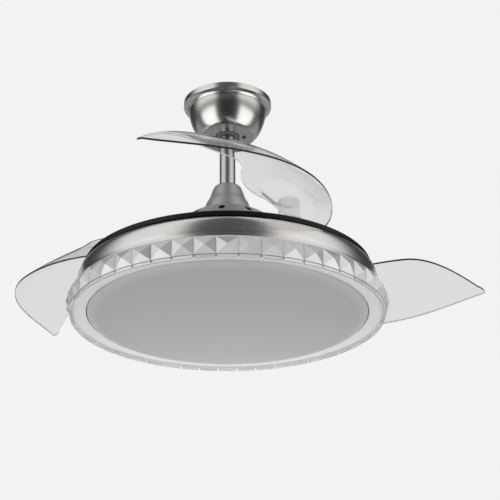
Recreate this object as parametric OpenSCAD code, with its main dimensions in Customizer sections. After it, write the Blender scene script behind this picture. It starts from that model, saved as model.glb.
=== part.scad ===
// Ceiling fan with a round light and three clear blades that fold over the lamp.
// Origin: centre of the hanger bracket's top face on the ceiling. +Z is up, -Y is the front.
// Heights named *_h are measured up from the lamp's lower plane, where the white ring ends.

/* [Ceiling fitting] */
// Distance between the two ceiling bolts
bolt_span = 90; // [76:1:96]
// Diameter of a ceiling bolt hole
bolt_hole_d = 5.5; // [4.5:0.1:6.5]
// Height of the canopy below the ceiling
canopy_h = 63; // [56:1:80]
// Radius of the canopy's upper rim
canopy_r = 71.8; // [68:0.1:84]
// Height of the canopy's rim band
canopy_rim_h = 9; // [6:0.5:12]
// Radius of the flat bottom of the canopy
canopy_flat_r = 43.7; // [40:0.1:46]
// Radius of the hole in the canopy's bottom
canopy_hole_r = 21.4; // [20:0.1:23]
// Wall of the canopy
canopy_wall = 1.2; // [0.8:0.1:1.6]
// Radius of the hanger ball
ball_r = 27; // [25:0.5:29]

/* [Downrod] */
// Diameter of the downrod
rod_d = 25.5; // [21:0.5:30]
// Wall of the downrod
rod_wall = 1.8; // [1.2:0.1:2.4]
// Length of rod that shows between canopy and coupling cover
rod_show = 91; // [60:1:400]
// Diameter of the pins that cross the rod
pin_d = 6; // [5:0.5:7]

/* [Coupling cover] */
// Height of the coupling cover
cover_h = 51; // [46:0.5:60]
// Radius of the coupling cover's lower edge
cover_r = 40; // [36:0.5:46]
// Wall of the coupling cover
cover_wall = 1.4; // [1:0.1:2]

/* [Motor] */
// Height of the motor housing
motor_h = 86.5; // [82:0.5:110]
// Radius of the motor housing
motor_r = 74; // [70:1:88]
// Radius of the fixed hollow motor shaft
shaft_r = 8; // [7:0.5:9]
// Number of stator teeth
stator_teeth = 18; // [12:3:24]
// Number of rotor magnets
magnet_count = 20; // [16:2:28]
// Radius of the domed cover over the motor
dome_r = 98; // [94:0.5:106]
// Wall of the motor cover
dome_wall = 1.2; // [0.8:0.1:2]
// Number of oval slots round the motor cover
dome_slots = 12; // [6:1:16]

/* [Rotor disc] */
// Radius of the black rotor disc
disc_r = 225; // [205:1:232]
// Height of the disc's turned-down rim
disc_h = 8; // [5:0.5:9]
// Thickness of the disc's plate
disc_wall = 2; // [1.6:0.1:2.5]
// Gap between the lamp's metal band and the turning disc
disc_gap = 3.5; // [2.5:0.5:6]

/* [Blades] */
// Number of blades
blade_count = 3; // [3:1:3]
// Radius of the circle that the blade pivots stand on
pivot_r = 185; // [182:1:200]
// Angle of the first pivot, from the front towards +X
pivot_angle = 29.3; // [25:0.1:34]
// Direction of the open blade, from the line pivot-to-axis
blade_yaw = 112; // [108:0.1:116]
// Angle a blade turns from open to folded
fold_angle = 68; // [60:1:68]
// Length from the pivot to the blade's tip
blade_len = 332; // [300:1:340]
// Greatest width of the blade on its leading side of the pivot
blade_bulge = 118.5; // [100:0.5:122]
// Radius of the rounded root end round the pivot
lobe_r = 50; // [42:1:52]
// Thickness of the clear blade sheet
blade_t = 3; // [2:0.1:4]
// Rise from the leading edge to the trailing edge
blade_rise = 59; // [45:0.5:62]
// Share of extra rise in the sheet's arched section
camber = 1.14; // [0.3:0.01:1.3]
// Height of the leading edge over the disc at the root
lead_lift = 5.3; // [4.5:0.1:12]
// Climb of the leading edge from root to tip
lead_climb = 3.5; // [0:0.5:12]
// Outer radius of the clear boss under the blade
boss_r = 16; // [15:0.5:18]
// Wall of the clear boss
boss_wall = 3; // [2:0.5:3.5]
// Height of the flat seat in the sheet over the disc
seat_lift = 44.5; // [40:0.5:56]

/* [Folding gears] */
// Gear module
gear_m = 2.5; // [2.5:0.5:2.5]
// Teeth on a full blade gear
blade_teeth = 28; // [26:2:28]
// Thickness of the gears
gear_t = 4; // [3:0.5:4.5]
// Radius of a blade's pivot pin
pivot_pin_r = 5; // [4:0.5:5.5]

/* [Lamp] */
// Radius over the crystals
lamp_r = 250; // [244:1:258]
// Radius of the brushed metal band
band_r = 233; // [230:0.5:238]
// Height of the brushed metal band
band_h = 34; // [30:0.5:45]
// Wall of the metal band and the chassis
band_wall = 1.2; // [0.8:0.1:2]
// Height of the crystal section under the band
crystal_h = 33; // [28:0.5:40]
// Number of crystal tiles
crystal_count = 48; // [40:2:56]
// Height of a tile's pyramid over its edges
crystal_rise = 5.5; // [3:0.5:7]
// Outer radius of the white ring
ring_r = 240.6; // [236:0.1:243]
// Radius of the diffuser
diffuser_r = 218; // [200:0.5:224]
// Radius of the diffuser's rounded edge
diffuser_round = 8; // [4:0.5:12]
// Wall of the diffuser
diffuser_wall = 2; // [1.5:0.1:3]

/* [Hidden] */
$fn = 96;
CLEAR = 0.3; // gap between parts that move past each other
FIT = 0.05; // radial running fit of shafts and pins
EPS = 0.01;

// Heights over the lamp's lower plane
band_lo_h = crystal_h;
band_hi_h = band_lo_h + band_h;
disc_lo_h = band_hi_h + disc_gap;
disc_hi_h = disc_lo_h + disc_h;
motor_hi_h = disc_hi_h + motor_h;
dome_hi_h = motor_hi_h + 9; // flat top of the turning motor cover
cover_lo_h = dome_hi_h + 1;
cover_hi_h = cover_lo_h + cover_h;
plate_h = band_lo_h + 19; // underside of the lamp's chassis plate
flange_h = plate_h + band_wall;

// Heights in the part's own frame
canopy_z = -canopy_h;
lamp_z = canopy_z - rod_show - cover_hi_h;

// Ceiling fitting
strap_t = 2.5;
strap_w = 34;
strap_l = bolt_span + 13;
wire_hole_d = 20;
arm_t = 2;
arm_w = 30;
arm_x = 33; // inner face of a bracket arm
socket_t = 2.5;
socket_r = 38;
seat_r = 20; // opening that the ball sits in
socket_lo_z = canopy_z + canopy_wall + CLEAR;
ball_z = socket_lo_z + socket_t + sqrt(ball_r * ball_r - seat_r * seat_r) + CLEAR;
ball_top = 8; // height of the ball's flat top over its centre
canopy_screw_x = 27;
screw_d = 4;

// Downrod and yoke
rod_r = rod_d / 2;
rod_top_z = ball_z + ball_top + 2;
ball_pin_z = ball_z + 3;
yoke_lo_h = motor_hi_h + 3;
yoke_block = 10; // solid block at the yoke's foot
yoke_h = 38;
yoke_r = rod_r + 5.2;
rod_lo_h = yoke_lo_h + yoke_block;
rod_pin_h = rod_lo_h + 12;
yoke_screw_h = rod_lo_h + 22;
shaft_pin_d = 4;
shaft_pin_h = yoke_lo_h + 6.5;

// Motor
stator_r = motor_r - 14;
stator_hub_r = 26;
stator_h = 20;
stator_lo_h = disc_hi_h + (motor_h - stator_h) / 2;
magnet_t = 4;
magnet_r = stator_r + 0.8; // inner face of the magnets
shell_in_r = magnet_r + magnet_t + 0.1;
shell_split_h = disc_hi_h + motor_h / 2;
bearing_r = 17.5;
bearing_w = 11;
lower_bearing_h = disc_hi_h + 3;
upper_bearing_h = motor_hi_h - 3 - bearing_w;
shaft_lo_h = plate_h - 11;
lug_r = motor_r + 3; // circle of the housing screws
lug_count = 6;
motor_bolt_r = 40; // circle of the screws that hold the disc to the motor
dome_hole_r = yoke_r + 10;
shroud_r = max(dome_r, motor_r + 23.5); // the motor cover clears the motor's screw lugs
dome_bolt_r = shroud_r - 10; // circle of the screws that hold the motor cover to the disc
slot_r = shroud_r - 31; // circle of the motor cover's slots
slot_l = 11;
slot_w = 4.6;
slot_a = -96.3; // one slot stands beside the front

// Folding gears
blade_gear_r = gear_m * blade_teeth / 2;
sync_teeth = round(2 * (pivot_r - blade_gear_r) / gear_m / blade_count) * blade_count;
sync_r = pivot_r - blade_gear_r;
gear_lo_h = disc_hi_h + 2;
gear_hi_h = gear_lo_h + gear_t;
boss_lo_h = gear_hi_h + 0.2;
boss_flange_r = 24;
boss_flange_t = 4;
seat_h = disc_hi_h + seat_lift;
bush_r = 8;
bush_rim = 1.5; // thickness of a bush's flange
bush_lo_h = disc_hi_h - 11;
hub_r = 13;
hub_hi_h = disc_hi_h - disc_wall; // underside of the disc's plate
hub_peg_r = 15;
pin_lo_h = disc_lo_h - 14;
spring_wire = 1.4;
spring_pitch = 1.8;
spring_turns = 3;
spring_r = pivot_pin_r + 2;
spring_leg = 9;
post_r = 1.5;
spring_hi = spring_pitch * spring_turns;
spring_lo_h = bush_lo_h - 2.1 - spring_wire / 2 - spring_hi;
clip_h = bush_lo_h - 1.3;
boss_screw_r = 20; // circle of the screws under a blade's boss
boss_screw_d = 3.2;
seat_flat_r = boss_r + 5;
guide_r = 4.2;
sync_rim = 12; // width of the ring's rim under its teeth
guide_ring_r = sync_r - sync_rim - CLEAR - guide_r;
sync_turn = fold_angle * blade_teeth / sync_teeth;
BACKLASH = 0.15;
sector_a = 20; // toothed sector ahead of the contact line when open
sector_b = fold_angle + 20; // toothed sector behind it
stop_ring_r = boss_flange_r + 9;
stop_r = 3.5;
stop_a = asin((stop_r + CLEAR) / stop_ring_r);
open_stop_a = 180 + sector_b + stop_a;
folded_stop_a = 180 - sector_a - fold_angle - stop_a;
crystal_back_r = ring_r - 1;

function bez(p, t) = len(p) == 1 ? p[0]
  : bez([for (i = [0:len(p) - 2]) p[i] * (1 - t) + p[i + 1] * t], t);
function curve(p, n, from = 0) = [for (i = [0:n]) bez(p, from + (1 - from) * i / n)];
function tail(v) = [for (i = [1:len(v) - 1]) v[i]];
function back(v) = [for (i = [len(v) - 1:-1:0]) v[i]];
function arc(r, a, b, n) = [for (i = [0:n]) r * [cos(a + (b - a) * i / n), sin(a + (b - a) * i / n)]];
function shift(v, d) = [for (p = v) p + d];
function ease(x) = let (c = min(1, max(0, x))) c * c * (3 - 2 * c);

module at_lamp() { translate([0, 0, lamp_z]) children(); }
module spun(points) { rotate_extrude() polygon(points); }
module ring(n, start = 0) { for (i = [0:n - 1]) rotate([0, 0, start + 360 * i / n]) children(); }
module tube(r, bore, h) {
  difference() {
    cylinder(r = r, h = h);
    translate([0, 0, -1]) cylinder(r = bore, h = h + 2);
  }
}
// A round bar that lies along +X
module crossbar(d, length) { rotate([0, 90, 0]) cylinder(d = d, h = length); }
// A machine screw that stands on its head, shank up
module screw_up(d, head_r, head_h, length) {
  cylinder(r = head_r, h = head_h);
  translate([0, 0, head_h - EPS]) cylinder(d = d, h = length + EPS);
}

// ---- Ceiling fitting ----
module hanger_bracket() {
  color("gainsboro") difference() {
    union() {
      translate([-strap_l / 2, -strap_w / 2, -strap_t]) cube([strap_l, strap_w, strap_t]);
      for (side = [-1, 1])
        translate([side * (arm_x + arm_t / 2) - arm_t / 2, -arm_w / 2, socket_lo_z])
          cube([arm_t, arm_w, -socket_lo_z]);
      translate([0, 0, socket_lo_z]) cylinder(r = socket_r, h = socket_t);
    }
    for (side = [-1, 1])
      translate([side * bolt_span / 2, 0, -strap_t - 1]) cylinder(d = bolt_hole_d, h = strap_t + 2);
    translate([0, 0, -strap_t - 1]) cylinder(d = wire_hole_d, h = strap_t + 2);
    translate([0, 0, socket_lo_z - 1]) cylinder(r = seat_r, h = socket_t + 2);
    // the rod slides in sideways through this slot
    translate([-rod_r - 1.5, 0, socket_lo_z - 1]) cube([rod_d + 3, socket_r + 2, socket_t + 2]);
    for (side = [-1, 1])
      translate([side * canopy_screw_x, 0, socket_lo_z - 1])
        cylinder(d = screw_d + 2 * FIT, h = socket_t + 2);
  }
}

function canopy_side(d) = concat(
  [[canopy_r - d, -0.5], [canopy_r - d, -canopy_rim_h + d / 2]],
  curve([[canopy_r - d - 1, -canopy_rim_h - 1 + d / 2], [canopy_r - 6 - d, -canopy_rim_h - 2 + d / 2],
         [canopy_r - 8 - d, -canopy_rim_h - 6 + d / 2]], 4),
  tail(curve([[canopy_r - 8 - d, -canopy_rim_h - 6 + d / 2], [canopy_r - 9 - d, canopy_z / 2],
              [canopy_flat_r + 10 - d, canopy_z + 6 + d], [canopy_flat_r, canopy_z + d]], 12)));
module canopy() {
  color("silver") difference() {
    spun(concat([[canopy_hole_r, canopy_z]], back(canopy_side(0)),
                canopy_side(canopy_wall), [[canopy_hole_r, canopy_z + canopy_wall]]));
    for (side = [-1, 1])
      translate([side * canopy_screw_x, 0, canopy_z - 1]) cylinder(d = screw_d + 0.6, h = canopy_wall + 2);
  }
}

module canopy_screws() {
  color("silver") for (side = [-1, 1])
    translate([side * canopy_screw_x, 0, canopy_z - 2.2]) screw_up(screw_d, 3.5, 2.2, 7);
}

// Small housing with a lid line, screw bosses and a cable notch
module electric_box(size, notch) {
  difference() {
    cube(size);
    for (x = [-1, size[0] - 0.6]) translate([x, -1, size[2] * 0.7]) cube([1.6, size[1] + 2, 0.8]);
    for (y = [-1, size[1] - 0.6]) translate([-1, y, size[2] * 0.7]) cube([size[0] + 2, 1.6, 0.8]);
    translate([size[0] / 2 - notch / 2, -1, size[2] * 0.35]) cube([notch, 3, notch / 2]);
  }
}

module receiver_box() {
  color("white") translate([wire_hole_d / 2 + 2, -15, -29])
    electric_box([arm_x - wire_hole_d / 2 - 2, 30, 24], 8);
}

module terminal_block() {
  color("ivory") difference() {
    translate([-arm_x, -14, -24]) cube([12, 28, 18]);
    for (y = [-9, 0, 9]) {
      translate([-arm_x + 6, y, -10]) cylinder(r = 2.2, h = 6);
      translate([-arm_x + 4, y, -18]) rotate([0, 90, 0]) cylinder(r = 2.5, h = 10);
    }
  }
}

// ---- Hanging parts ----
module hanger_ball() {
  color("dimgray") translate([0, 0, ball_z]) difference() {
    sphere(r = ball_r);
    translate([-ball_r, -ball_r, ball_top]) cube(2 * ball_r);
    translate([-ball_r, -ball_r, canopy_z - ball_z - 2 * ball_r + CLEAR]) cube(2 * ball_r);
    translate([0, 0, -ball_r - 1]) cylinder(r = rod_r + FIT, h = 2 * ball_r);
    translate([-ball_r, 0, ball_pin_z - ball_z]) crossbar(pin_d + 2 * FIT, 2 * ball_r);
    // ribs that grip the socket
    ring(24, 7.5) translate([rod_r + 3, -0.8, -ball_r]) cube([ball_r, 1.6, ball_r - 20]);
    ring(24, 7.5) translate([ball_r - 1.2, -0.8, -14]) cube([3, 1.6, 10]);
  }
}

module ball_pin() {
  color("silver") translate([-ball_r + 3, 0, ball_pin_z]) crossbar(pin_d, 2 * ball_r - 6);
}

module downrod() {
  bottom = lamp_z + rod_lo_h + FIT;
  color("silver") difference() {
    translate([0, 0, bottom]) tube(rod_r, rod_r - rod_wall, rod_top_z - bottom);
    for (z = [ball_pin_z, lamp_z + rod_pin_h]) translate([-rod_d, 0, z]) crossbar(pin_d + 2 * FIT, 2 * rod_d);
  }
}

module rod_pin() {
  color("silver") at_lamp() translate([-yoke_r - 3.2, 0, rod_pin_h]) rotate([0, 90, 0]) difference() {
    union() {
      cylinder(d = pin_d + 3, h = 3);
      cylinder(d = pin_d, h = 2 * yoke_r + 8.4);
    }
    translate([0, -pin_d, 2 * yoke_r + 6.2]) rotate([-90, 0, 0]) cylinder(r = 1, h = 2 * pin_d);
  }
}

module rod_clip() {
  // a wire ring with an open side, threaded through the pin's end
  color("silver") at_lamp() translate([yoke_r + 3, 0, rod_pin_h]) {
    translate([0, -5, 0]) rotate([-90, 0, 0]) cylinder(r = 0.9, h = 10);
    for (side = [-1, 1]) translate([0, side * 5, 0]) cylinder(r = 0.9, h = 8);
    translate([0, 0, 8]) rotate([0, -90, 0]) rotate([0, 0, -90])
      rotate_extrude(angle = 180) translate([5, 0]) circle(r = 0.9);
  }
}

module yoke() {
  color("darkgray") at_lamp() difference() {
    translate([0, 0, yoke_lo_h]) cylinder(r = yoke_r, h = yoke_h);
    translate([0, 0, rod_lo_h]) cylinder(r = rod_r + FIT, h = yoke_h);
    translate([0, 0, yoke_lo_h - 1]) cylinder(r = shaft_r + FIT, h = yoke_h);
    translate([-yoke_r - 1, 0, rod_pin_h]) crossbar(pin_d + 2 * FIT, 2 * yoke_r + 2);
    translate([0, -yoke_r - 1, shaft_pin_h]) rotate(90) crossbar(shaft_pin_d + 2 * FIT, 2 * yoke_r + 2);
    for (side = [0, 180]) rotate([0, 0, side])
      translate([0, rod_r - 1, yoke_screw_h]) rotate([-90, 0, 0]) cylinder(d = 5 + 2 * FIT, h = 12);
  }
}

module yoke_screws() {
  color("dimgray") at_lamp() for (side = [0, 180]) rotate([0, 0, side])
    translate([0, rod_r + FIT, yoke_screw_h]) rotate([-90, 0, 0]) difference() {
      union() {
        cylinder(d = 5, h = 9);
        translate([0, 0, yoke_r - rod_r + 0.1]) cylinder(r = 4, h = 2.5, $fn = 6);
      }
      translate([0, 0, 7]) cylinder(r = 1.4, h = 3, $fn = 6);
    }
}

module shaft_pin() {
  color("gray") at_lamp() translate([0, -yoke_r + 1, shaft_pin_h]) rotate(90)
    crossbar(shaft_pin_d, 2 * yoke_r - 2);
}

// Round shoulder, waist and flared foot of the coupling cover's bell
function cover_side(d) = let (shoulder = [cover_r - 16.5 - d, cover_hi_h - 7],
    waist = [cover_r - 9.5 - d, cover_lo_h + cover_h / 2])
  concat(
    curve([[rod_r + 0.5, cover_hi_h - d], [rod_r + 7 - d, cover_hi_h - d],
           [shoulder[0] - 1.5, cover_hi_h - 2 - d], shoulder], 5),
    tail(curve([shoulder, shoulder + [3, -7], waist + [-3, 6], waist], 6)),
    tail(curve([waist, waist + [4.5, -7], [cover_r - 3 - d, cover_lo_h + 11],
                [cover_r - d, cover_lo_h]], 6)));
module coupling_cover() {
  color("gray") at_lamp() spun(concat(cover_side(0), back(cover_side(cover_wall))));
}

module motor_shaft() {
  color("lightgray") at_lamp() difference() {
    translate([0, 0, shaft_lo_h]) tube(shaft_r, shaft_r - 2.5, rod_lo_h - shaft_lo_h);
    translate([0, -shaft_r - 1, shaft_pin_h]) rotate(90) crossbar(shaft_pin_d + 2 * FIT, 2 * shaft_r + 2);
  }
}

module stator_core() {
  tooth_w = 6;
  color("slategray") at_lamp() translate([0, 0, stator_lo_h]) linear_extrude(stator_h) difference() {
    union() {
      circle(r = stator_hub_r);
      ring(stator_teeth) translate([0, -tooth_w / 2]) square([stator_r - 2, tooth_w]);
      difference() {
        circle(r = stator_r);
        circle(r = stator_r - 3.5);
        ring(stator_teeth, 180 / stator_teeth) translate([0, -1.5]) square([stator_r + 1, 3]);
      }
    }
    circle(r = shaft_r + FIT);
  }
}

module windings() {
  tooth_w = 6.4;
  wound = 2.4;
  length = stator_r - 4 - stator_hub_r - 9;
  color("chocolate") at_lamp() ring(stator_teeth)
    translate([stator_hub_r + 8.5, 0, stator_lo_h]) difference() {
      translate([0, -tooth_w / 2 - wound, -wound]) cube([length, tooth_w + 2 * wound, stator_h + 2 * wound]);
      translate([-1, -tooth_w / 2, -0.2]) cube([length + 2, tooth_w, stator_h + 0.4]);
    }
}

// ---- Rotor ----
module shell_lugs(z, h) {
  ring(lug_count, 30) translate([lug_r, 0, z]) cylinder(r = 5, h = h);
}
module rotor_lower_shell() {
  color("dimgray") at_lamp() difference() {
    union() {
      spun([[bearing_r - 3, disc_hi_h], [motor_r - 3, disc_hi_h], [motor_r, disc_hi_h + 3],
            [motor_r, shell_split_h], [shell_in_r, shell_split_h], [shell_in_r, disc_hi_h + 6],
            [shell_in_r - 3, disc_hi_h + 3], [bearing_r + 5, disc_hi_h + 3],
            [bearing_r + 4, lower_bearing_h + bearing_w], [bearing_r + FIT, lower_bearing_h + bearing_w],
            [bearing_r + FIT, lower_bearing_h - FIT], [bearing_r - 3, lower_bearing_h - FIT]]);
      shell_lugs(shell_split_h - 12, 12);
      ring(12) translate([bearing_r + 3, -1, disc_hi_h + 2]) cube([shell_in_r - bearing_r - 2, 2, 6]);
      ring(lug_count) translate([motor_bolt_r, 0, disc_hi_h + 2]) cylinder(r = 5, h = 6);
    }
    ring(lug_count, 30) translate([lug_r, 0, shell_split_h - 11]) cylinder(d = 3.4, h = 12);
    ring(lug_count) translate([motor_bolt_r, 0, disc_hi_h - 1]) cylinder(d = 4 + 2 * FIT, h = 7);
  }
}

module rotor_upper_shell() {
  inner = shell_in_r;
  color("dimgray") at_lamp() difference() {
    union() {
      spun(concat([[inner, shell_split_h], [motor_r, shell_split_h]],
        curve([[motor_r, motor_hi_h - 22], [motor_r, motor_hi_h - 6], [motor_r - 12, motor_hi_h - 2],
               [motor_r - 26, motor_hi_h]], 8),
        [[bearing_r - 3, motor_hi_h], [bearing_r - 3, motor_hi_h - 3 + FIT],
         [bearing_r + FIT, motor_hi_h - 3 + FIT], [bearing_r + FIT, upper_bearing_h],
         [bearing_r + 4, upper_bearing_h], [bearing_r + 5, motor_hi_h - 3]],
        back(curve([[inner, motor_hi_h - 24], [inner, motor_hi_h - 9], [inner - 9, motor_hi_h - 5],
                    [inner - 20, motor_hi_h - 3]], 8))));
      shell_lugs(shell_split_h, 8);
    }
    ring(lug_count, 30) translate([lug_r, 0, shell_split_h - 1]) cylinder(d = 3.4, h = 12);
    ring(12, 15) {
      translate([inner - 14, 0, motor_hi_h - 12]) cylinder(r = 2.2, h = 20);
      translate([inner - 22, 0, motor_hi_h - 12]) cylinder(r = 2.2, h = 20);
      translate([inner - 22, -2.2, motor_hi_h - 12]) cube([8, 4.4, 20]);
    }
  }
}

module shell_screws() {
  color("silver") at_lamp() ring(lug_count, 30)
    translate([lug_r, 0, shell_split_h + 8 + 2.4]) rotate([180, 0, 0]) screw_up(3.3, 3, 2.4, 17);
}

module magnets() {
  pitch = 360 / magnet_count;
  color("darkslategray") at_lamp() translate([0, 0, stator_lo_h - 2]) ring(magnet_count)
    rotate_extrude(angle = pitch - 3) translate([magnet_r, 0]) square([magnet_t, stator_h + 4]);
}

// Deep-groove ball bearing: two races and eight balls
module bearing(h) {
  mid = (bearing_r + shaft_r) / 2;
  translate([0, 0, h]) {
    spun([[shaft_r + FIT, 0], [shaft_r + 3, 0], [shaft_r + 3, bearing_w], [shaft_r + FIT, bearing_w]]);
    spun([[bearing_r - 3, 0], [bearing_r, 0], [bearing_r, bearing_w], [bearing_r - 3, bearing_w]]);
    ring(8) translate([mid, 0, bearing_w / 2]) sphere(r = (bearing_r - shaft_r) / 2 - 3 - FIT);
  }
}
module lower_bearing() { color("lightgray") at_lamp() bearing(lower_bearing_h); }
module upper_bearing() { color("lightgray") at_lamp() bearing(upper_bearing_h); }

// Dome that turns with the motor and stands on the disc
function dome_side(d) = curve([[dome_hole_r, dome_hi_h - d], [shroud_r - 40, dome_hi_h - d],
  [shroud_r - 32 - d, dome_hi_h - 8 - d], [shroud_r - d, dome_hi_h - 36]], 12);
module motor_cover() {
  color("dimgray") at_lamp() difference() {
    union() {
      spun(concat(dome_side(0), [[shroud_r, disc_hi_h], [shroud_r - 8, disc_hi_h],
        [shroud_r - 8, disc_hi_h + dome_wall], [shroud_r - dome_wall, disc_hi_h + dome_wall]],
        back(dome_side(dome_wall))));
      ring(lug_count / 2) translate([dome_bolt_r, 0, disc_hi_h]) cylinder(r = 5, h = 8);
    }
    ring(dome_slots, slot_a) translate([slot_r, 0, dome_hi_h - 30]) {
      translate([(slot_w - slot_l) / 2, -slot_w / 2, 0]) cube([slot_l - slot_w, slot_w, 40]);
      for (side = [-1, 1]) translate([side * (slot_l - slot_w) / 2, 0, 0]) cylinder(d = slot_w, h = 40);
    }
    ring(lug_count / 2) translate([dome_bolt_r, 0, disc_hi_h - 1]) cylinder(d = screw_d + 2 * FIT, h = 7);
  }
}

module rotor_disc() {
  color("#141414") at_lamp() difference() {
    union() {
      spun(concat([[bearing_r + 2, disc_hi_h - disc_wall], [bearing_r + 2, disc_hi_h]],
        shift(arc(disc_wall, 90, 0, 4), [disc_r - disc_wall, disc_hi_h - disc_wall]),
        [[disc_r, disc_lo_h], [disc_r - disc_wall, disc_lo_h], [disc_r - disc_wall, disc_hi_h - disc_wall]]));
      // pressed stiffening rings on the underside
      for (r = [shroud_r - 2, shroud_r + 20, pivot_r + 21])
        translate([0, 0, hub_hi_h - 1.5]) tube(r + 3, r - 3, 2);
    }
    at_pivots() {
      translate([0, 0, disc_lo_h]) cylinder(r = bush_r + FIT, h = 2 * disc_h);
      hub_pegs(disc_lo_h, 2 * disc_h, FIT);
    }
    ring(lug_count) translate([motor_bolt_r, 0, disc_lo_h - 5]) cylinder(d = screw_d + 0.5, h = 20);
    ring(lug_count / 2) translate([dome_bolt_r, 0, disc_lo_h - 5]) cylinder(d = screw_d + 0.5, h = 20);
    // lightening holes between the pivots
    ring(12, pivot_angle + 15 - 90) translate([162, 0, disc_lo_h - 5]) cylinder(r = 7, h = 20);
  }
}

// Screws through the disc into the motor housing and the motor cover
module disc_screws() {
  color("silver") at_lamp() translate([0, 0, disc_hi_h - disc_wall - 2.4]) {
    ring(lug_count) translate([motor_bolt_r, 0, 0]) screw_up(screw_d, 3.6, 2.4, disc_wall + 5.5);
    ring(lug_count / 2) translate([dome_bolt_r, 0, 0]) screw_up(screw_d, 3.6, 2.4, disc_wall + 5.5);
  }
}

// Places children on each blade pivot; k picks one pivot, -1 all of them
module at_pivots(k = -1) {
  for (i = [0:blade_count - 1]) if (k < 0 || k == i)
    rotate([0, 0, -90 + pivot_angle + 360 * i / blade_count]) translate([pivot_r, 0, 0]) children();
}

// Cast hubs pegged under the disc: each holds a bush, and the post that its return spring pushes on
module hub_pegs(z, h, gap = 0) {
  ring(3) translate([hub_peg_r, 0, z]) cylinder(r = 1.6 + gap, h = h);
}
module pivot_hubs() {
  color("silver") at_lamp() at_pivots() {
    difference() {
      union() {
        translate([0, 0, bush_lo_h + bush_rim]) cylinder(r = hub_r, h = hub_hi_h - bush_lo_h - bush_rim);
        translate([0, 0, hub_hi_h - 2]) cylinder(r = hub_r + 4, h = 2);
        hub_pegs(hub_hi_h - 1, disc_wall + 1.4);
      }
      translate([0, 0, bush_lo_h]) cylinder(r = bush_r + FIT, h = 20);
    }
    translate([post_r + spring_wire / 2 + CLEAR, -spring_r - spring_leg + 1, spring_lo_h - 1])
      cylinder(r = post_r, h = hub_hi_h - 1 - spring_lo_h);
  }
}

module pivot_bushes() {
  color("peru") at_lamp() at_pivots() translate([0, 0, bush_lo_h]) difference() {
    union() {
      cylinder(r = bush_r, h = disc_hi_h - bush_lo_h + 0.2);
      cylinder(r = bush_r + 2.5, h = bush_rim);
    }
    translate([0, 0, -1]) cylinder(r = pivot_pin_r + FIT, h = 30);
  }
}

module ring_guides() {
  color("silver") at_lamp() ring(6, -90 + pivot_angle + 30) translate([guide_ring_r, 0, disc_hi_h]) {
    cylinder(r = guide_r, h = gear_hi_h - disc_hi_h + 0.4);
    cylinder(r = guide_r + 2, h = gear_lo_h - disc_hi_h - CLEAR);
    translate([0, 0, gear_hi_h - disc_hi_h + 0.3]) cylinder(r = guide_r + 2, h = 1.8);
  }
}

// Two rubber stops for each blade gear: one meets it open, one folded
module stop_bumpers() {
  color("#202020") at_lamp() at_pivots() for (a = [open_stop_a, folded_stop_a])
    rotate([0, 0, a]) translate([stop_ring_r, 0, disc_hi_h]) tube(stop_r, 1.2, gear_hi_h - disc_hi_h);
}

// Return spring: coils round the pivot pin, lower leg on the hub's post, upper leg at the pin's hole
function spring_path() = let (steps = 12, n = spring_turns * steps) concat(
  [[0, -spring_r - spring_leg, 0]],
  [for (i = [0:n]) let (a = 360 * i / steps)
    [spring_r * sin(a), -spring_r * cos(a), spring_pitch * i / steps]],
  [[0, -pivot_pin_r - CLEAR, spring_hi]]);
module wire(path, r, sides) {
  n = len(path);
  points = [for (i = [0:n - 1]) let (
      t = path[min(n - 1, i + 1)] - path[max(0, i - 1)],
      m = norm([t[0], t[1]]), side = [t[1], -t[0], 0] / m)
    for (k = [0:sides - 1]) path[i] + r * (cos(360 * k / sides) * side + [0, 0, sin(360 * k / sides)])];
  faces = concat([[for (k = [sides - 1:-1:0]) k]],
    [for (i = [0:n - 2], k = [0:sides - 1]) let (a = i * sides + k, b = i * sides + (k + 1) % sides)
      [a, b, b + sides, a + sides]],
    [[for (k = [0:sides - 1]) (n - 1) * sides + k]]);
  polyhedron(points, faces);
}
module return_springs() {
  color("silver") at_lamp() at_pivots() translate([0, 0, spring_lo_h])
    wire(spring_path(), spring_wire / 2, 6);
}

// ---- Folding gears ----
function inv(a) = tan(a) * 180 / PI - a;
// One involute tooth, centred on +X: points up one flank and down the other
function tooth(z) = let (r = gear_m * z / 2, base = r * cos(20), tip = r + 0.9 * gear_m,
    foot = r - 1.2 * gear_m, half = 90 / z - BACKLASH / r * 180 / PI + inv(20),
    flank = [for (i = [0:4]) let (s = max(foot, base + (tip - base) * i / 4), a = half - inv(acos(base / s)))
      s * [cos(a), sin(a)]],
    low = (foot - 1) * [cos(half), sin(half)])
  concat([[low[0], -low[1]]], [for (p = flank) [p[0], -p[1]]], back(flank), [low]);
module gear_teeth(z, from, to) {
  pitch = 360 / z;
  for (i = [ceil(from / pitch):floor(to / pitch)]) rotate([0, 0, i * pitch]) polygon(tooth(z));
}
module sector(r, from, to) {
  polygon(concat([[0, 0]], arc(r, from, to, 12)));
}

module sync_ring() {
  span = 26; // teeth stand only where a blade gear reaches
  foot = sync_r - 1.2 * gear_m;
  color("ivory") at_lamp() translate([0, 0, gear_lo_h]) linear_extrude(gear_t) difference() {
    union() {
      circle(r = foot);
      rotate(-90 + pivot_angle) for (i = [0:blade_count - 1])
        rotate(360 * i / blade_count) gear_teeth(sync_teeth, -span / 2 - sync_turn, span / 2);
    }
    circle(r = sync_r - sync_rim);
    ring(24, 7.5) translate([sync_r - sync_rim / 2 - 2, 0]) circle(r = 2);
  }
}

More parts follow.
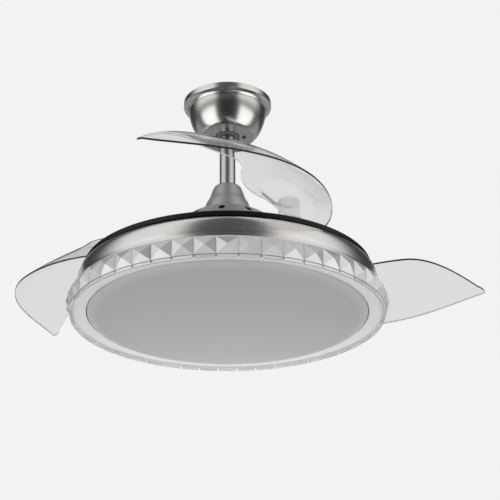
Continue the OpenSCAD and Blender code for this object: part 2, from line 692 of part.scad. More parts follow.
module blade_gear(k) {
  color("ivory") at_lamp() at_pivots(k) difference() {
    union() {
      translate([0, 0, gear_lo_h]) linear_extrude(gear_t) {
        circle(r = boss_flange_r);
        intersection() {
          circle(r = blade_gear_r - 1.2 * gear_m);
          sector(2 * blade_gear_r, 180 - sector_a, 180 + sector_b);
        }
        intersection() {
          rotate(180 - 180 / blade_teeth) gear_teeth(blade_teeth, -sector_a, sector_b + 360 / blade_teeth);
          sector(2 * blade_gear_r, 180 - sector_a, 180 + sector_b);
        }
      }
      translate([0, 0, disc_hi_h + 0.2 + CLEAR]) cylinder(r = bush_r, h = gear_lo_h - disc_hi_h);
      translate([0, 0, gear_hi_h - 1]) cylinder(r = boss_r - boss_wall - FIT, h = 8);
    }
    translate([0, 0, disc_lo_h]) cylinder(r = pivot_pin_r, h = 60);
    ring(3, 60) translate([boss_screw_r, 0, gear_lo_h - 1]) {
      cylinder(d = 3.4, h = 20);
      cylinder(r = 3.1, h = 3);
    }
  }
}

module pivot_pin(k) {
  color("silver") at_lamp() at_pivots(k) difference() {
    translate([0, 0, pin_lo_h]) cylinder(r = pivot_pin_r - EPS, h = gear_hi_h + 6 - pin_lo_h);
    translate([0, 0, clip_h - 0.1]) tube(pivot_pin_r + 1, pivot_pin_r - 1, 1.2);
    translate([0, -2 * pivot_pin_r, spring_lo_h + spring_hi]) rotate([-90, 0, 0])
      cylinder(d = spring_wire + 0.4, h = 2 * pivot_pin_r + 2);
  }
}

module pin_clip(k) {
  color("dimgray") at_lamp() at_pivots(k) translate([0, 0, clip_h]) difference() {
    tube(pivot_pin_r + 2.5, pivot_pin_r - 1 + FIT, 1);
    translate([0, -2.5, -1]) cube([20, 5, 3]);
  }
}

module blade_screws(k) {
  color("silver") at_lamp() at_pivots(k) ring(3, 60)
    translate([boss_screw_r, 0, gear_lo_h + 0.2])
      screw_up(boss_screw_d, 2.9, 1.7, boss_lo_h + boss_flange_t - gear_lo_h - 2.4);
}

// ---- Blades ----
// The sheet is drawn in the blade's own plane: U runs from pivot to tip, V to the leading side.
// Both edges start on the rounded root and end beside the tip.
lead_edge = concat(
  curve([[-lobe_r, 0], [-lobe_r, 1.22 * lobe_r], [0.91 * lobe_r, blade_bulge],
         [blade_bulge, blade_bulge]], 9, 0.05),
  tail(curve([[blade_bulge, blade_bulge], [0.64 * blade_len, blade_bulge],
              [blade_len - 54, 0.36 * blade_bulge], [blade_len - 5, 7]], 10)));
trail_edge = concat(
  curve([[-lobe_r, 0], [-lobe_r, -1.24 * lobe_r], [0.97 * lobe_r, -1.29 * lobe_r],
         [1.76 * lobe_r, -0.39 * lobe_r]], 9, 0.05),
  tail(curve([[1.76 * lobe_r, -0.39 * lobe_r], [0.41 * blade_len, 27],
              [0.475 * blade_len, -52], [blade_len - 11, -5]], 10)));
tip_mid = (lead_edge[len(lead_edge) - 1] + trail_edge[len(trail_edge) - 1]) / 2;
tip_half = (lead_edge[len(lead_edge) - 1] - trail_edge[len(trail_edge) - 1]) / 2;
tip_out = [tip_half[1], -tip_half[0]] / norm(tip_half) * 8; // how far the rounded tip stands out
lead = concat(lead_edge, [for (a = [35, 70]) tip_mid + tip_half * cos(a) + tip_out * sin(a)]);
trail = concat(trail_edge, [for (a = [35, 70]) tip_mid - tip_half * cos(a) + tip_out * sin(a)]);

// Height of the sheet's underside over the disc, at share s of the way from leading to trailing edge
function sheet_z(p, s) = let (
    tip_fall = cos(90 * max(0, min(1, (p[0] - 0.61 * blade_len) / (0.39 * blade_len)))),
    root_rise = sqrt(sin(90 * max(0, min(1, (p[0] + lobe_r) / lobe_r)))),
    edge = lead_lift + lead_climb * max(0, p[0]) / blade_len,
    z = edge + blade_rise * tip_fall * root_rise * (s + camber * s * (1 - s)))
  seat_lift + (z - seat_lift) * ease((norm(p) - seat_flat_r) / 25);

module blade_sheet() {
  cols = 9;
  rows = len(lead);
  size = rows * (cols + 1);
  top = [for (i = [0:rows - 1], j = [0:cols]) let (s = j / cols, p = lead[i] + (trail[i] - lead[i]) * s)
    [p[0], p[1], sheet_z(p, s) + blade_t]];
  bottom = [for (p = top) p - [0, 0, blade_t]];
  rim = concat([for (j = [0:cols]) j], [for (i = [1:rows - 1]) i * (cols + 1) + cols],
    [for (j = [cols - 1:-1:0]) (rows - 1) * (cols + 1) + j], [for (i = [rows - 2:-1:1]) i * (cols + 1)]);
  n = len(rim);
  faces = concat(
    [for (i = [0:rows - 2], j = [0:cols - 1], h = [0, 1]) let (a = i * (cols + 1) + j, b = a + cols + 1)
      h == 0 ? [a, b, a + 1] : [a + 1, b, b + 1]],
    [for (i = [0:rows - 2], j = [0:cols - 1], h = [0, 1])
      let (a = size + i * (cols + 1) + j, b = a + cols + 1)
      h == 0 ? [a, a + 1, b] : [a + 1, b + 1, b]],
    [for (i = [0:n - 1], h = [0, 1]) let (a = rim[i], b = rim[(i + 1) % n])
      h == 0 ? [a, b, b + size] : [a, b + size, a + size]]);
  polyhedron(concat(top, bottom), faces);
}

module blade(k) {
  color([0.86, 0.86, 0.88, 0.4]) at_lamp() at_pivots(k) difference() {
    union() {
      translate([0, 0, disc_hi_h]) rotate([0, 0, 180 + blade_yaw]) blade_sheet();
      translate([0, 0, boss_lo_h]) cylinder(r = boss_r, h = seat_h + 1 - boss_lo_h);
      translate([0, 0, boss_lo_h]) cylinder(r = boss_flange_r, h = boss_flange_t);
    }
    translate([0, 0, boss_lo_h - 1]) cylinder(r = boss_r - boss_wall, h = seat_h - boss_wall + 1 - boss_lo_h);
    ring(3, 60) translate([boss_screw_r, 0, boss_lo_h - 1])
      cylinder(d = boss_screw_d + 2 * FIT, h = boss_flange_t + 2);
  }
}

// ---- Lamp ----
module lamp_flange() {
  color("silver") at_lamp() difference() {
    translate([0, 0, flange_h]) union() {
      cylinder(r = 14, h = 12);
      cylinder(r = 32, h = 4);
      ring(4) translate([10, -1.5, 0]) cube([16, 3, 9]);
    }
    translate([0, 0, flange_h - 1]) cylinder(r = shaft_r + FIT, h = 20);
    ring(4, 45) translate([24, 0, flange_h - 1]) cylinder(d = 4 + 2 * FIT, h = 6);
  }
}

module shaft_nut() {
  color("silver") at_lamp() translate([0, 0, plate_h - 8.1]) difference() {
    cylinder(r = 13.8, h = 8, $fn = 6);
    translate([0, 0, -1]) cylinder(r = shaft_r + FIT, h = 10);
  }
}

module flange_screws() {
  color("silver") at_lamp() ring(4, 45) translate([24, 0, plate_h - 2.4]) screw_up(4, 3.6, 2.4, 5);
}

module chassis() {
  rim_r = band_r - band_wall - CLEAR;
  color("white") at_lamp() difference() {
    spun([[shaft_r + 2, plate_h], [rim_r - band_wall, plate_h], [rim_r - band_wall, band_lo_h + 3],
          [rim_r, band_lo_h + 3], [rim_r, flange_h], [shaft_r + 2, flange_h]]);
    ring(4, 45) translate([24, 0, plate_h - 1]) cylinder(d = 4.5, h = 4);
    ring(16) translate([204, 0, plate_h - 1]) cylinder(r = 6, h = 4);
    for (side = [-1, 1]) translate([side * 44, 0, plate_h - 1]) cylinder(r = 5, h = 4);
  }
}

module trim_band() {
  color("silver") at_lamp() spun(concat(
    [[band_r - 6, band_lo_h], [band_r - 0.8, band_lo_h]],
    [[band_r + 0.2, band_lo_h + 1], [band_r + 0.4, band_lo_h + 5], [band_r, band_lo_h + 6]],
    curve([[band_r + 0.2, band_lo_h + 8], [band_r + 1.6, band_lo_h + 18], [band_r + 1, band_hi_h - 4],
           [band_r - 5, band_hi_h]], 10),
    [[band_r - 11, band_hi_h], [band_r - 11, band_hi_h - band_wall]],
    back(curve([[band_r - band_wall, band_lo_h + 8], [band_r + 0.4, band_lo_h + 18],
                [band_r - 0.4, band_hi_h - 5], [band_r - 5.5, band_hi_h - band_wall]], 10)),
    [[band_r - band_wall, band_lo_h + band_wall], [band_r - 6, band_lo_h + band_wall]]));
}

module lens_frame() {
  color("white") at_lamp() spun([
    [diffuser_r + CLEAR, 3], [ring_r - 1.5, 0], [ring_r - 0.8, -0.6], [ring_r, -0.6], [ring_r, 0.4],
    [crystal_back_r - CLEAR, 0.4], [crystal_back_r - CLEAR, band_lo_h - CLEAR],
    [band_r - 11, band_lo_h - CLEAR],
    [band_r - 11, band_lo_h - 2.2], [crystal_back_r - 2.5, band_lo_h - 2.2], [crystal_back_r - 2.5, 3],
    [diffuser_r + 3, 5], [diffuser_r + 2.2, 17], [diffuser_r + CLEAR, 17]]);
}

module crystals() {
  half = 180 / crystal_count;
  edge_r = lamp_r - crystal_rise;
  lo = 0.7;
  hi = band_lo_h - 2;
  wide = edge_r * sin(half) - 0.15;
  narrow = crystal_back_r * sin(half) - 0.15;
  color([0.92, 0.94, 0.97, 0.6]) at_lamp() ring(crystal_count) polyhedron(
    [[crystal_back_r, -narrow, lo], [crystal_back_r, narrow, lo], [crystal_back_r, narrow, hi],
     [crystal_back_r, -narrow, hi], [edge_r * cos(half), -wide, lo], [edge_r * cos(half), wide, lo],
     [edge_r * cos(half), wide, hi], [edge_r * cos(half), -wide, hi], [lamp_r, 0, (lo + hi) / 2]],
    [[0, 3, 2, 1], [0, 1, 5, 4], [2, 3, 7, 6], [1, 2, 6, 5], [3, 0, 4, 7],
     [4, 5, 8], [5, 6, 8], [6, 7, 8], [7, 4, 8]]);
}

module diffuser() {
  flat_r = diffuser_r - diffuser_round;
  bottom = -2;
  color([0.8, 0.8, 0.82]) at_lamp() spun(concat(
    [[0, bottom], [flat_r, bottom]],
    tail(shift(arc(diffuser_round, -90, 0, 6), [flat_r, bottom + diffuser_round])),
    [[diffuser_r, 17 + CLEAR], [diffuser_r + 3, 17 + CLEAR], [diffuser_r + 3, 19],
     [diffuser_r - diffuser_wall, 19]],
    shift(arc(diffuser_round - diffuser_wall, 0, -90, 6), [flat_r, bottom + diffuser_round]),
    [[0, bottom + diffuser_wall]]));
}

module led_board() {
  color("white") at_lamp() translate([0, 0, plate_h - 1.7]) difference() {
    tube(190, 62, 1.6);
    ring(6, 30) translate([126, 0, -1]) cylinder(r = 2, h = 4);
  }
}

module led_chips() {
  color("khaki") at_lamp() for (row = [0:2]) ring(12 + 6 * row, 9 * row)
    translate([86 + 40 * row - 2.5, -2.5, plate_h - 2.6]) cube([5, 5, 0.9]);
}

module led_driver() {
  color("white") at_lamp() translate([-31, 22, plate_h - 22.1]) electric_box([62, 26, 22], 8);
}

module fan_controller() {
  color("white") at_lamp() mirror([0, 1, 0]) translate([-31, 22, plate_h - 20.1])
    electric_box([62, 26, 20], 10);
}

module lens_clips() {
  leg_r = band_r - 12.5;
  color("silver") at_lamp() ring(6, 15) {
    translate([leg_r - 1, -9, band_lo_h - 4]) cube([1.2, 18, plate_h - band_lo_h + 3.9]);
    translate([leg_r - 12, -9, plate_h - 1.3]) cube([12, 18, 1.2]);
    translate([leg_r - 1, -9, band_lo_h - 4]) cube([7, 18, 1.2]);
  }
}

hanger_bracket();
canopy();
canopy_screws();
receiver_box();
terminal_block();
hanger_ball();
ball_pin();
downrod();
rod_pin();
rod_clip();
yoke();
yoke_screws();
shaft_pin();
coupling_cover();
motor_shaft();
stator_core();
windings();
lamp_flange();
shaft_nut();
flange_screws();
chassis();
trim_band();
lens_frame();
crystals();
diffuser();
led_board();
led_chips();
led_driver();
fan_controller();
lens_clips();
rotor_lower_shell();
rotor_upper_shell();
shell_screws();
magnets();
lower_bearing();
upper_bearing();
motor_cover();
rotor_disc();
disc_screws();
pivot_hubs();
pivot_bushes();
ring_guides();
stop_bumpers();
return_springs();
sync_ring();
for (k = [0:blade_count - 1]) {
  blade(k);
  blade_gear(k);
  pivot_pin(k);
  blade_screws(k);
  pin_clip(k);
}
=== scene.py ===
# %% [markdown]
# # A ceiling fan with a crystal-edged light and folding clear blades
# The construction model gives the frame: every part with its true size and place. This script adds the
# looks. What shows from a step away is made again as a smooth mesh from the same sizes; what works inside
# keeps its construction mesh and gets a finish. We load the frame first.

# %% Frame
import math

import bmesh
import bpy
from mathutils import Matrix, Vector


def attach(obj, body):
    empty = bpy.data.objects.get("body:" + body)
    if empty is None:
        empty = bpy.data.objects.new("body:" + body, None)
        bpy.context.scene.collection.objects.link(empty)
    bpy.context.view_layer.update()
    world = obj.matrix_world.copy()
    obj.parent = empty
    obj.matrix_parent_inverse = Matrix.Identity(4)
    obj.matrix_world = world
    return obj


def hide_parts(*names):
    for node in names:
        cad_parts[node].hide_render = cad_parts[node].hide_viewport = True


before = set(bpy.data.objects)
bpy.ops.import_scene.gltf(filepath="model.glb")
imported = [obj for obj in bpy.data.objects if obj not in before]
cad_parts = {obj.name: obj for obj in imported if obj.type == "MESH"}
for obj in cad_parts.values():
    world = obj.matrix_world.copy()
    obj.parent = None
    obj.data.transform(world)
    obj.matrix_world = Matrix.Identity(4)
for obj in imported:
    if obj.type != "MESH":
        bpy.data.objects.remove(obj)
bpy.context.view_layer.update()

MM = 0.001

# %% [markdown]
# ## Camera
# The photograph looks up at the lamp from the front, 24 degrees below it, through a long lens from a little
# over two metres. The fan hangs a little left of the picture's middle, so the lens is shifted sideways and
# not turned, which would make the rod lean.

# %% Camera
PIXELS = 500  # the photograph is square
FOCAL_PX = 1452
AXIS_PX = 227.5  # column of the photograph that the rod's axis falls on
PITCH = math.radians(23.88)
CAMERA_AT = (0, -2.095, -1.192)

lens = bpy.data.cameras.new("camera")
lens.sensor_width = 36
lens.lens = FOCAL_PX * lens.sensor_width / PIXELS
lens.shift_x = (PIXELS / 2 - AXIS_PX) / PIXELS
camera = bpy.data.objects.new("camera", lens)
camera.location = CAMERA_AT
camera.rotation_euler = (math.pi / 2 + PITCH, 0, 0)
bpy.context.scene.collection.objects.link(camera)
bpy.context.scene.camera = camera
bpy.context.scene.view_settings.view_transform = "Standard"
print("lens", round(lens.lens, 1), "mm, shift", lens.shift_x)

# %% [markdown]
# ## Building with bmesh
# Most of this fan is turned: a flat outline of radius and height, swept once round the rod's axis. So one
# helper takes such an outline, spins it and rounds its sharp rims with a small bevel, because no real rim
# is a perfect corner and the bevel is what catches the light. Another drills holes with a Boolean, and the
# last one makes the object, tells the frame which body carries it, and hides the construction part it
# stands for.


# %% Helpers for meshes
def edges_over(bm, degrees):
    """Edges at which the surface turns by more than the given angle."""
    limit = math.radians(degrees)
    return [e for e in bm.edges if len(e.link_faces) == 2 and e.calc_face_angle(0) > limit]


def rounded(bm, width, degrees=30, segments=3):
    """Round the sharp edges; width in millimetres."""
    bmesh.ops.bevel(bm, geom=edges_over(bm, degrees), offset=width * MM, offset_type="OFFSET",
                    segments=segments, profile=0.5, affect="EDGES", clamp_overlap=True, material=-1)
    return bm


def turned(outline, steps=192, base=0.0):
    """Spin a closed outline of (radius, height) points round Z; millimetres, height over base."""
    bm = bmesh.new()
    corners = [bm.verts.new((r * MM, 0, (z + base) * MM)) for r, z in outline]
    rim = [bm.edges.new(pair) for pair in zip(corners, corners[1:] + corners[:1])]
    bmesh.ops.spin(bm, geom=corners + rim, cent=(0, 0, 0), axis=(0, 0, 1), angle=2 * math.pi,
                   steps=steps, use_merge=True, use_duplicate=False)
    bmesh.ops.remove_doubles(bm, verts=bm.verts, dist=1e-6)
    bmesh.ops.dissolve_degenerate(bm, edges=bm.edges, dist=1e-7)
    bmesh.ops.recalc_face_normals(bm, faces=bm.faces)
    return bm


def merged(*parts):
    """Put several bmeshes in one."""
    whole = bmesh.new()
    for part in parts:
        mesh = bpy.data.meshes.new("part")
        part.to_mesh(mesh)
        part.free()
        whole.from_mesh(mesh)
        bpy.data.meshes.remove(mesh)
    return whole


def as_object(name, bm):
    """Turn a bmesh into an object of the scene."""
    mesh = bpy.data.meshes.new(name)
    bm.to_mesh(mesh)
    bm.free()
    obj = bpy.data.objects.new(name, mesh)
    bpy.context.scene.collection.objects.link(obj)
    return obj


def drilled(bm, *tools):
    """Cut closed bmeshes out of another, as the Boolean modifier does, and give the result back."""
    pair = [as_object("drilled", part) for part in (bm, merged(*tools))]
    cut = pair[0].modifiers.new("drilled", "BOOLEAN")
    cut.operation = "DIFFERENCE"
    cut.solver = "EXACT"
    cut.object = pair[1]
    result = bmesh.new()
    result.from_object(pair[0], bpy.context.evaluated_depsgraph_get())
    for obj in pair:
        bpy.data.objects.remove(obj)
    bmesh.ops.remove_doubles(result, verts=result.verts, dist=1e-6)
    return result


def drill(radius, low, high, place, sides=32):
    """A round cutting tool along Z; millimetres."""
    bm = bmesh.new()
    bmesh.ops.create_cone(bm, cap_ends=True, segments=sides, radius1=radius * MM, radius2=radius * MM,
                          depth=(high - low) * MM)
    bmesh.ops.translate(bm, verts=bm.verts, vec=Vector((place[0], place[1], (low + high) / 2)) * MM)
    return bm


def piece(name, bm, body, node, slot, *materials, flats=True):
    """Make the object, shade it smooth between sharp edges, and fit it into the frame."""
    for face in bm.faces:
        face.smooth = True
    for edge in edges_over(bm, 38):
        edge.smooth = False
    obj = as_object(name, bm)
    for material in materials:
        obj.data.materials.append(material)
    if flats:  # a wide flat face decides the shading of the narrow bevels beside it
        obj.modifiers.new("flats", "WEIGHTED_NORMAL").keep_sharp = True
    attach(obj, body)
    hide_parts(node)
    print(name, len(obj.data.polygons), "faces")
    return obj


# %% [markdown]
# Curved outlines are Bezier curves: a few handles draw the whole bell, as on paper. Rounded corners are
# arcs.


# %% Curves
def bezier(handles, count, start=0.0, skip=0):
    """Points along a Bezier curve of any degree."""
    def at(points, t):
        while len(points) > 1:
            points = [tuple(a + (b - a) * t for a, b in zip(p, q)) for p, q in zip(points, points[1:])]
        return points[0]
    return [at(handles, start + (1 - start) * i / count) for i in range(skip, count + 1)]


def arc(centre, radius, start, end, count):
    """Points of a round corner; angles in degrees."""
    angles = [math.radians(start + (end - start) * i / count) for i in range(count + 1)]
    return [(centre[0] + radius * math.cos(a), centre[1] + radius * math.sin(a)) for a in angles]


def clamp(value):
    return max(0, min(1, value))


def ring_of(count, radius, start=0.0):
    """Places evenly round the axis; angles in degrees."""
    return [(radius * math.cos(a), radius * math.sin(a))
            for a in (math.radians(start + 360 * i / count) for i in range(count))]


# %% [markdown]
# ## Building finishes with nodes
# A finish is a Principled shader whose inputs change a little over the surface. Two effects come back in
# many finishes, so each is a node group: brushing, which runs round the axis as a lathe leaves it, and
# grain, the fine unevenness of paint and moulded plastic. A group gives only a height and a tone, and each
# material decides how much of them it wants.


# %% Helpers for nodes
def add(tree, kind, **values):
    """Add a node; names in capitals set its inputs, the others its settings."""
    node = tree.nodes.new(kind)
    for key, value in values.items():
        if not key[0].isupper():
            setattr(node, key, value)
    for key, value in values.items():
        if key[0].isupper():
            node.inputs[key.replace("_", " ")].default_value = value
    return node


def reckon(tree, operation, *values):
    """A Math node fed by sockets or numbers."""
    node = add(tree, "ShaderNodeMath", operation=operation)
    for socket, value in zip(node.inputs, values):
        if isinstance(value, (int, float)):
            socket.default_value = value
        else:
            tree.links.new(value, socket)
    return node.outputs[0]


def from_axis(tree, x, y):
    """The distance from the axis."""
    squares = [reckon(tree, "MULTIPLY", value, value) for value in (x, y)]
    return reckon(tree, "SQRT", reckon(tree, "ADD", *squares))


def spread(tree, value, low, high, out_low, out_high, kind="SMOOTHSTEP"):
    """Map a range of the value onto another range, beyond whose ends it stays."""
    node = add(tree, "ShaderNodeMapRange", interpolation_type=kind)
    for socket, number in zip(node.inputs[1:5], (low, high, out_low, out_high)):
        socket.default_value = number
    tree.links.new(value, node.inputs[0])
    return node.outputs[0]


def colour_mix(tree, share):
    """A node that mixes two colours by a share: its two inputs and its result."""
    node = add(tree, "ShaderNodeMix", data_type="RGBA")
    tree.links.new(share, node.inputs[0])
    first, second = [s for s in node.inputs if s.type == "RGBA"]
    return first, second, [s for s in node.outputs if s.type == "RGBA"][0]


def two_tone(tree, share, dark, light):
    """Mix two colours by a share."""
    first, second, mixed = colour_mix(tree, share)
    first.default_value = (*dark, 1)
    second.default_value = (*light, 1)
    return mixed


def blend(tree, share, colour):
    """Mix another colour into the material's base colour by a share."""
    base = tree.nodes["Principled BSDF"].inputs["Base Color"]
    first, second, mixed = colour_mix(tree, share)
    tree.links.new(base.links[0].from_socket, first)
    second.default_value = (*colour, 1)
    tree.links.new(mixed, base)


def effect_group(name, size):
    """An empty node group with a size going in, and a height and a tone coming out."""
    tree = bpy.data.node_groups.new(name, "ShaderNodeTree")
    tree.interface.new_socket("Size", in_out="INPUT", socket_type="NodeSocketFloat").default_value = size
    for label in ("Height", "Tone"):
        tree.interface.new_socket(label, in_out="OUTPUT", socket_type="NodeSocketFloat")
    return tree, add(tree, "NodeGroupInput").outputs["Size"], add(tree, "NodeGroupOutput")


# %% [markdown]
# The brushing group reads Object coordinates. Dividing X and Y by the radius leaves a direction that
# changes slowly round the axis, while height and radius run fast, so the noise stretches into long fine
# rings.

# %% Brushing group
brushing, size, out = effect_group("brushing round the axis", 900.0)
place = add(brushing, "ShaderNodeTexCoord").outputs["Object"]
split = add(brushing, "ShaderNodeSeparateXYZ")
brushing.links.new(place, split.inputs[0])
x, y, z = split.outputs
radius = reckon(brushing, "MAXIMUM", from_axis(brushing, x, y), 0.0001)
rings = add(brushing, "ShaderNodeCombineXYZ")
brushing.links.new(reckon(brushing, "DIVIDE", x, radius), rings.inputs[0])
brushing.links.new(reckon(brushing, "DIVIDE", y, radius), rings.inputs[1])
brushing.links.new(reckon(brushing, "MULTIPLY", reckon(brushing, "ADD", z, radius), size), rings.inputs[2])
streaks = add(brushing, "ShaderNodeTexNoise", Scale=1.0, Detail=3.0, Roughness=0.6)
brushing.links.new(rings.outputs[0], streaks.inputs["Vector"])
brushing.links.new(streaks.outputs[0], out.inputs["Height"])
cloud = add(brushing, "ShaderNodeTexNoise", Scale=18.0, Detail=2.0)
brushing.links.new(place, cloud.inputs["Vector"])
brushing.links.new(cloud.outputs[0], out.inputs["Tone"])
print("group:", brushing.name)

# %% Grain group
grain, size, out = effect_group("fine grain", 1800.0)
place = add(grain, "ShaderNodeTexCoord").outputs["Object"]
specks = add(grain, "ShaderNodeTexNoise", Detail=2.0)
grain.links.new(place, specks.inputs["Vector"])
grain.links.new(size, specks.inputs["Scale"])
grain.links.new(specks.outputs[0], out.inputs["Height"])
cloud = add(grain, "ShaderNodeTexNoise", Scale=14.0, Detail=3.0)
grain.links.new(place, cloud.inputs["Vector"])
grain.links.new(cloud.outputs[0], out.inputs["Tone"])
print("group:", grain.name)


# %% [markdown]
# One function then makes a finish: a base colour that the tone moves a little darker and lighter, a
# roughness that the fine height moves, and a bump from that height. Metals, paints and plastics differ only
# in these numbers, so each is one short line further down.


# %% Finish
def finish(name, colour, roughness, effect, size, tone=0.05, vary=0.05, bump=0.05, **sockets):
    """A Principled material with tone, roughness and bump from one of the groups."""
    material = bpy.data.materials.new(name)
    material.use_nodes = True
    tree = material.node_tree
    shader = tree.nodes["Principled BSDF"]
    look = add(tree, "ShaderNodeGroup", node_tree=effect, Size=size)
    dark = [c * (1 - tone) for c in colour]
    light = [min(1, c * (1 + tone)) for c in colour]
    tree.links.new(two_tone(tree, look.outputs["Tone"], dark, light), shader.inputs["Base Color"])
    rough = spread(tree, look.outputs["Height"], 0.3, 0.7, max(0, roughness - vary), min(1, roughness + vary),
                   kind="LINEAR")
    tree.links.new(rough, shader.inputs["Roughness"])
    if bump:
        relief = add(tree, "ShaderNodeBump", Strength=bump, Distance=0.0001)
        tree.links.new(look.outputs["Height"], relief.inputs["Height"])
        tree.links.new(relief.outputs[0], shader.inputs["Normal"])
    for label, value in sockets.items():
        shader.inputs[label.replace("_", " ")].default_value = value
    return material


# %% [markdown]
# ## Metals
# The visible metal looks like satin nickel: bright and slightly warm, with the studio in it as soft shapes.
# Inside there are cast metal, ground steel, copper and bronze.

# %% Metals
nickel = finish("satin nickel", (0.56, 0.548, 0.53), 0.24, brushing, 1500.0, tone=0.03, bump=0.03,
                Metallic=1.0)
# Painted shade: a darker copy of the nickel for the canopy's flat, which faces down.
nickel_painted_shade = finish("nickel with painted shade", (0.4, 0.395, 0.385), 0.3, brushing, 1500.0, tone=0.04,
                       Metallic=1.0)
rod_nickel = finish("rod nickel", (0.5, 0.495, 0.485), 0.32, brushing, 2200.0, tone=0.03, Metallic=1.0)
dark_zinc = finish("dark zinc", (0.12, 0.12, 0.12), 0.35, grain, 900.0, tone=0.12, vary=0.1, Metallic=1.0)
zinc = finish("zinc plating", (0.6, 0.6, 0.58), 0.34, grain, 900.0, tone=0.12, vary=0.1, Metallic=1.0)
cast = finish("die-cast metal", (0.5, 0.5, 0.51), 0.48, grain, 700.0, tone=0.1, vary=0.1, bump=0.2,
              Metallic=1.0)
ground = finish("ground steel", (0.6, 0.6, 0.61), 0.2, brushing, 2600.0, tone=0.04, Metallic=1.0)
core = finish("stacked core", (0.16, 0.17, 0.19), 0.5, brushing, 2000.0, tone=0.3, vary=0.1, bump=0.5,
              Metallic=0.7)
copper = finish("enamelled copper", (0.5, 0.18, 0.06), 0.3, brushing, 1400.0, tone=0.25, vary=0.1, bump=0.6,
                Metallic=0.8)
bronze = finish("oiled bronze", (0.45, 0.28, 0.1), 0.4, grain, 1500.0, tone=0.15, vary=0.1, Metallic=1.0)
print("metals done")

# %% [markdown]
# ## Paints and plastics
# The bells over the motor are grey paint with some gloss; the disc that carries the blades is black. The
# lamp's ring and bowl are white plastic. Paint and plastic are hardly rough at all up close, only a little
# uneven.

# %% Paints and plastics
bell_gray = finish("grey paint", (0.4, 0.396, 0.39), 0.45, grain, 1600.0, tone=0.04, Metallic=0.5,
                   Coat_Weight=0.3, Coat_Roughness=0.3)
disc_black = finish("black paint", (0.006, 0.006, 0.006), 0.4, grain, 1500.0, tone=0.2,
                    Specular_IOR_Level=0.2)
# Painted shade: the shell under the dome is black so that the dome's slots show dark.
painted_slot_shade = finish("black shell, painted shade", (0.015, 0.015, 0.015), 0.6, grain, 1500.0, tone=0.2)
chassis_white = finish("white paint", (0.75, 0.75, 0.74), 0.4, grain, 1500.0, tone=0.02)
ring_white = finish("white moulded ring", (0.72, 0.715, 0.73), 0.25, grain, 1400.0, tone=0.02)
silvered = finish("silvered back", (0.85, 0.85, 0.86), 0.12, grain, 1400.0, tone=0.02, Metallic=0.6)
# Painted shade: the opal is written grey, darker than white opal, for the bowl that faces down.
opal = finish("opal acrylic with painted shade", (0.375, 0.368, 0.383), 0.38, grain, 2200.0, tone=0.02)
box_white = finish("white box plastic", (0.72, 0.72, 0.7), 0.5, grain, 1400.0, tone=0.03, bump=0.12)
acetal = finish("natural acetal", (0.76, 0.75, 0.69), 0.35, grain, 1100.0, tone=0.04)
ball_gray = finish("grey nylon", (0.16, 0.16, 0.158), 0.5, grain, 1000.0, tone=0.1, bump=0.15)
rubber = finish("black rubber", (0.018, 0.018, 0.018), 0.75, grain, 900.0, tone=0.2, bump=0.2)
ferrite = finish("ferrite", (0.05, 0.05, 0.055), 0.6, grain, 1200.0, tone=0.2, vary=0.1, bump=0.2)
board_white = finish("board white", (0.8, 0.8, 0.78), 0.45, grain, 1500.0, tone=0.03)
phosphor = finish("phosphor", (0.75, 0.6, 0.12), 0.3, grain, 2500.0, tone=0.05)
print("paints and plastics done")

# %% [markdown]
# Painted light on the bowl: it is made paler towards its rounded edge, so its colour follows the distance
# from the axis.

# %% Painted light on the bowl's edge
PAINTED_LIGHT_FROM, PAINTED_LIGHT_TO = 0.2, 0.217  # metres from the axis
tree = opal.node_tree
split = add(tree, "ShaderNodeSeparateXYZ")
tree.links.new(add(tree, "ShaderNodeTexCoord").outputs["Object"], split.inputs[0])
painted_edge_light = spread(tree, from_axis(tree, *split.outputs[:2]), PAINTED_LIGHT_FROM, PAINTED_LIGHT_TO, 0.0, 0.8)
blend(tree, painted_edge_light, (0.55, 0.545, 0.555))
print("bowl edge done")


# %% [markdown]
# ## Clear plastic and glass
# The blades are clear plastic with a faint smoky tint, made by full transmission. Their index of refraction
# is lower than real plastic's, which is about 1.58, so the sheet mirrors less than a real one. The
# cut rim shows dark, so it has painted shade, a dark finish of its own. Seen from inside the sheet it gets
# painted light instead and is pale, which Geometry's Backfacing tells apart. The crystals are only partly
# clear: their look is mostly the painted light and shade of their facets below.


# %% Clear finishes
def clear(name, colour, roughness, index, through=1.0, **sockets):
    """A finish that light passes through."""
    return finish(name, colour, roughness, grain, 60.0, tone=0.01, vary=0.01, bump=0,
                  Transmission_Weight=through, IOR=index, **sockets)


blade_clear = clear("clear blade", (0.82, 0.805, 0.817), 0.02, 1.12)
# Painted shade on the cut rim, dark from outside; seen from inside the sheet it is painted pale.
painted_rim_shade = clear("blade rim with painted shade", (0.05, 0.05, 0.054), 0.12, 1.2, through=0.3)
tree = painted_rim_shade.node_tree
blend(tree, add(tree, "ShaderNodeNewGeometry").outputs["Backfacing"], (0.85, 0.84, 0.85))
boss_clear = clear("frosted boss", (0.98, 0.97, 0.98), 0.3, 1.05, through=0.88)
crystal = clear("cut crystal", (0.36, 0.365, 0.37), 0.05, 1.5, through=0.3, Coat_Weight=0.7, Coat_IOR=2.0)
tree = crystal.node_tree
# The facets' painted light and shade mix white into the crystal's colour.
blend(tree, add(tree, "ShaderNodeAttribute", attribute_name="painted_facet_light").outputs["Fac"], (1.0, 1.0, 1.0))
print("clear finishes done")

# %% [markdown]
# ## Canopy
# The canopy is spun from sheet: a rolled rim against the ceiling, a small step with a groove, then a bell
# that closes to a flat with a round hole for the hanger ball. Its outline is a few straight bits and two
# curves. Two screws hold it to the bracket, so their holes are drilled.

# %% Canopy
CANOPY_H, CANOPY_R, CANOPY_FLAT, CANOPY_HOLE, CANOPY_WALL = 63, 71.8, 43.7, 21.4, 1.2
SCREW_X, SCREW_HOLE_R = 27, 2.3


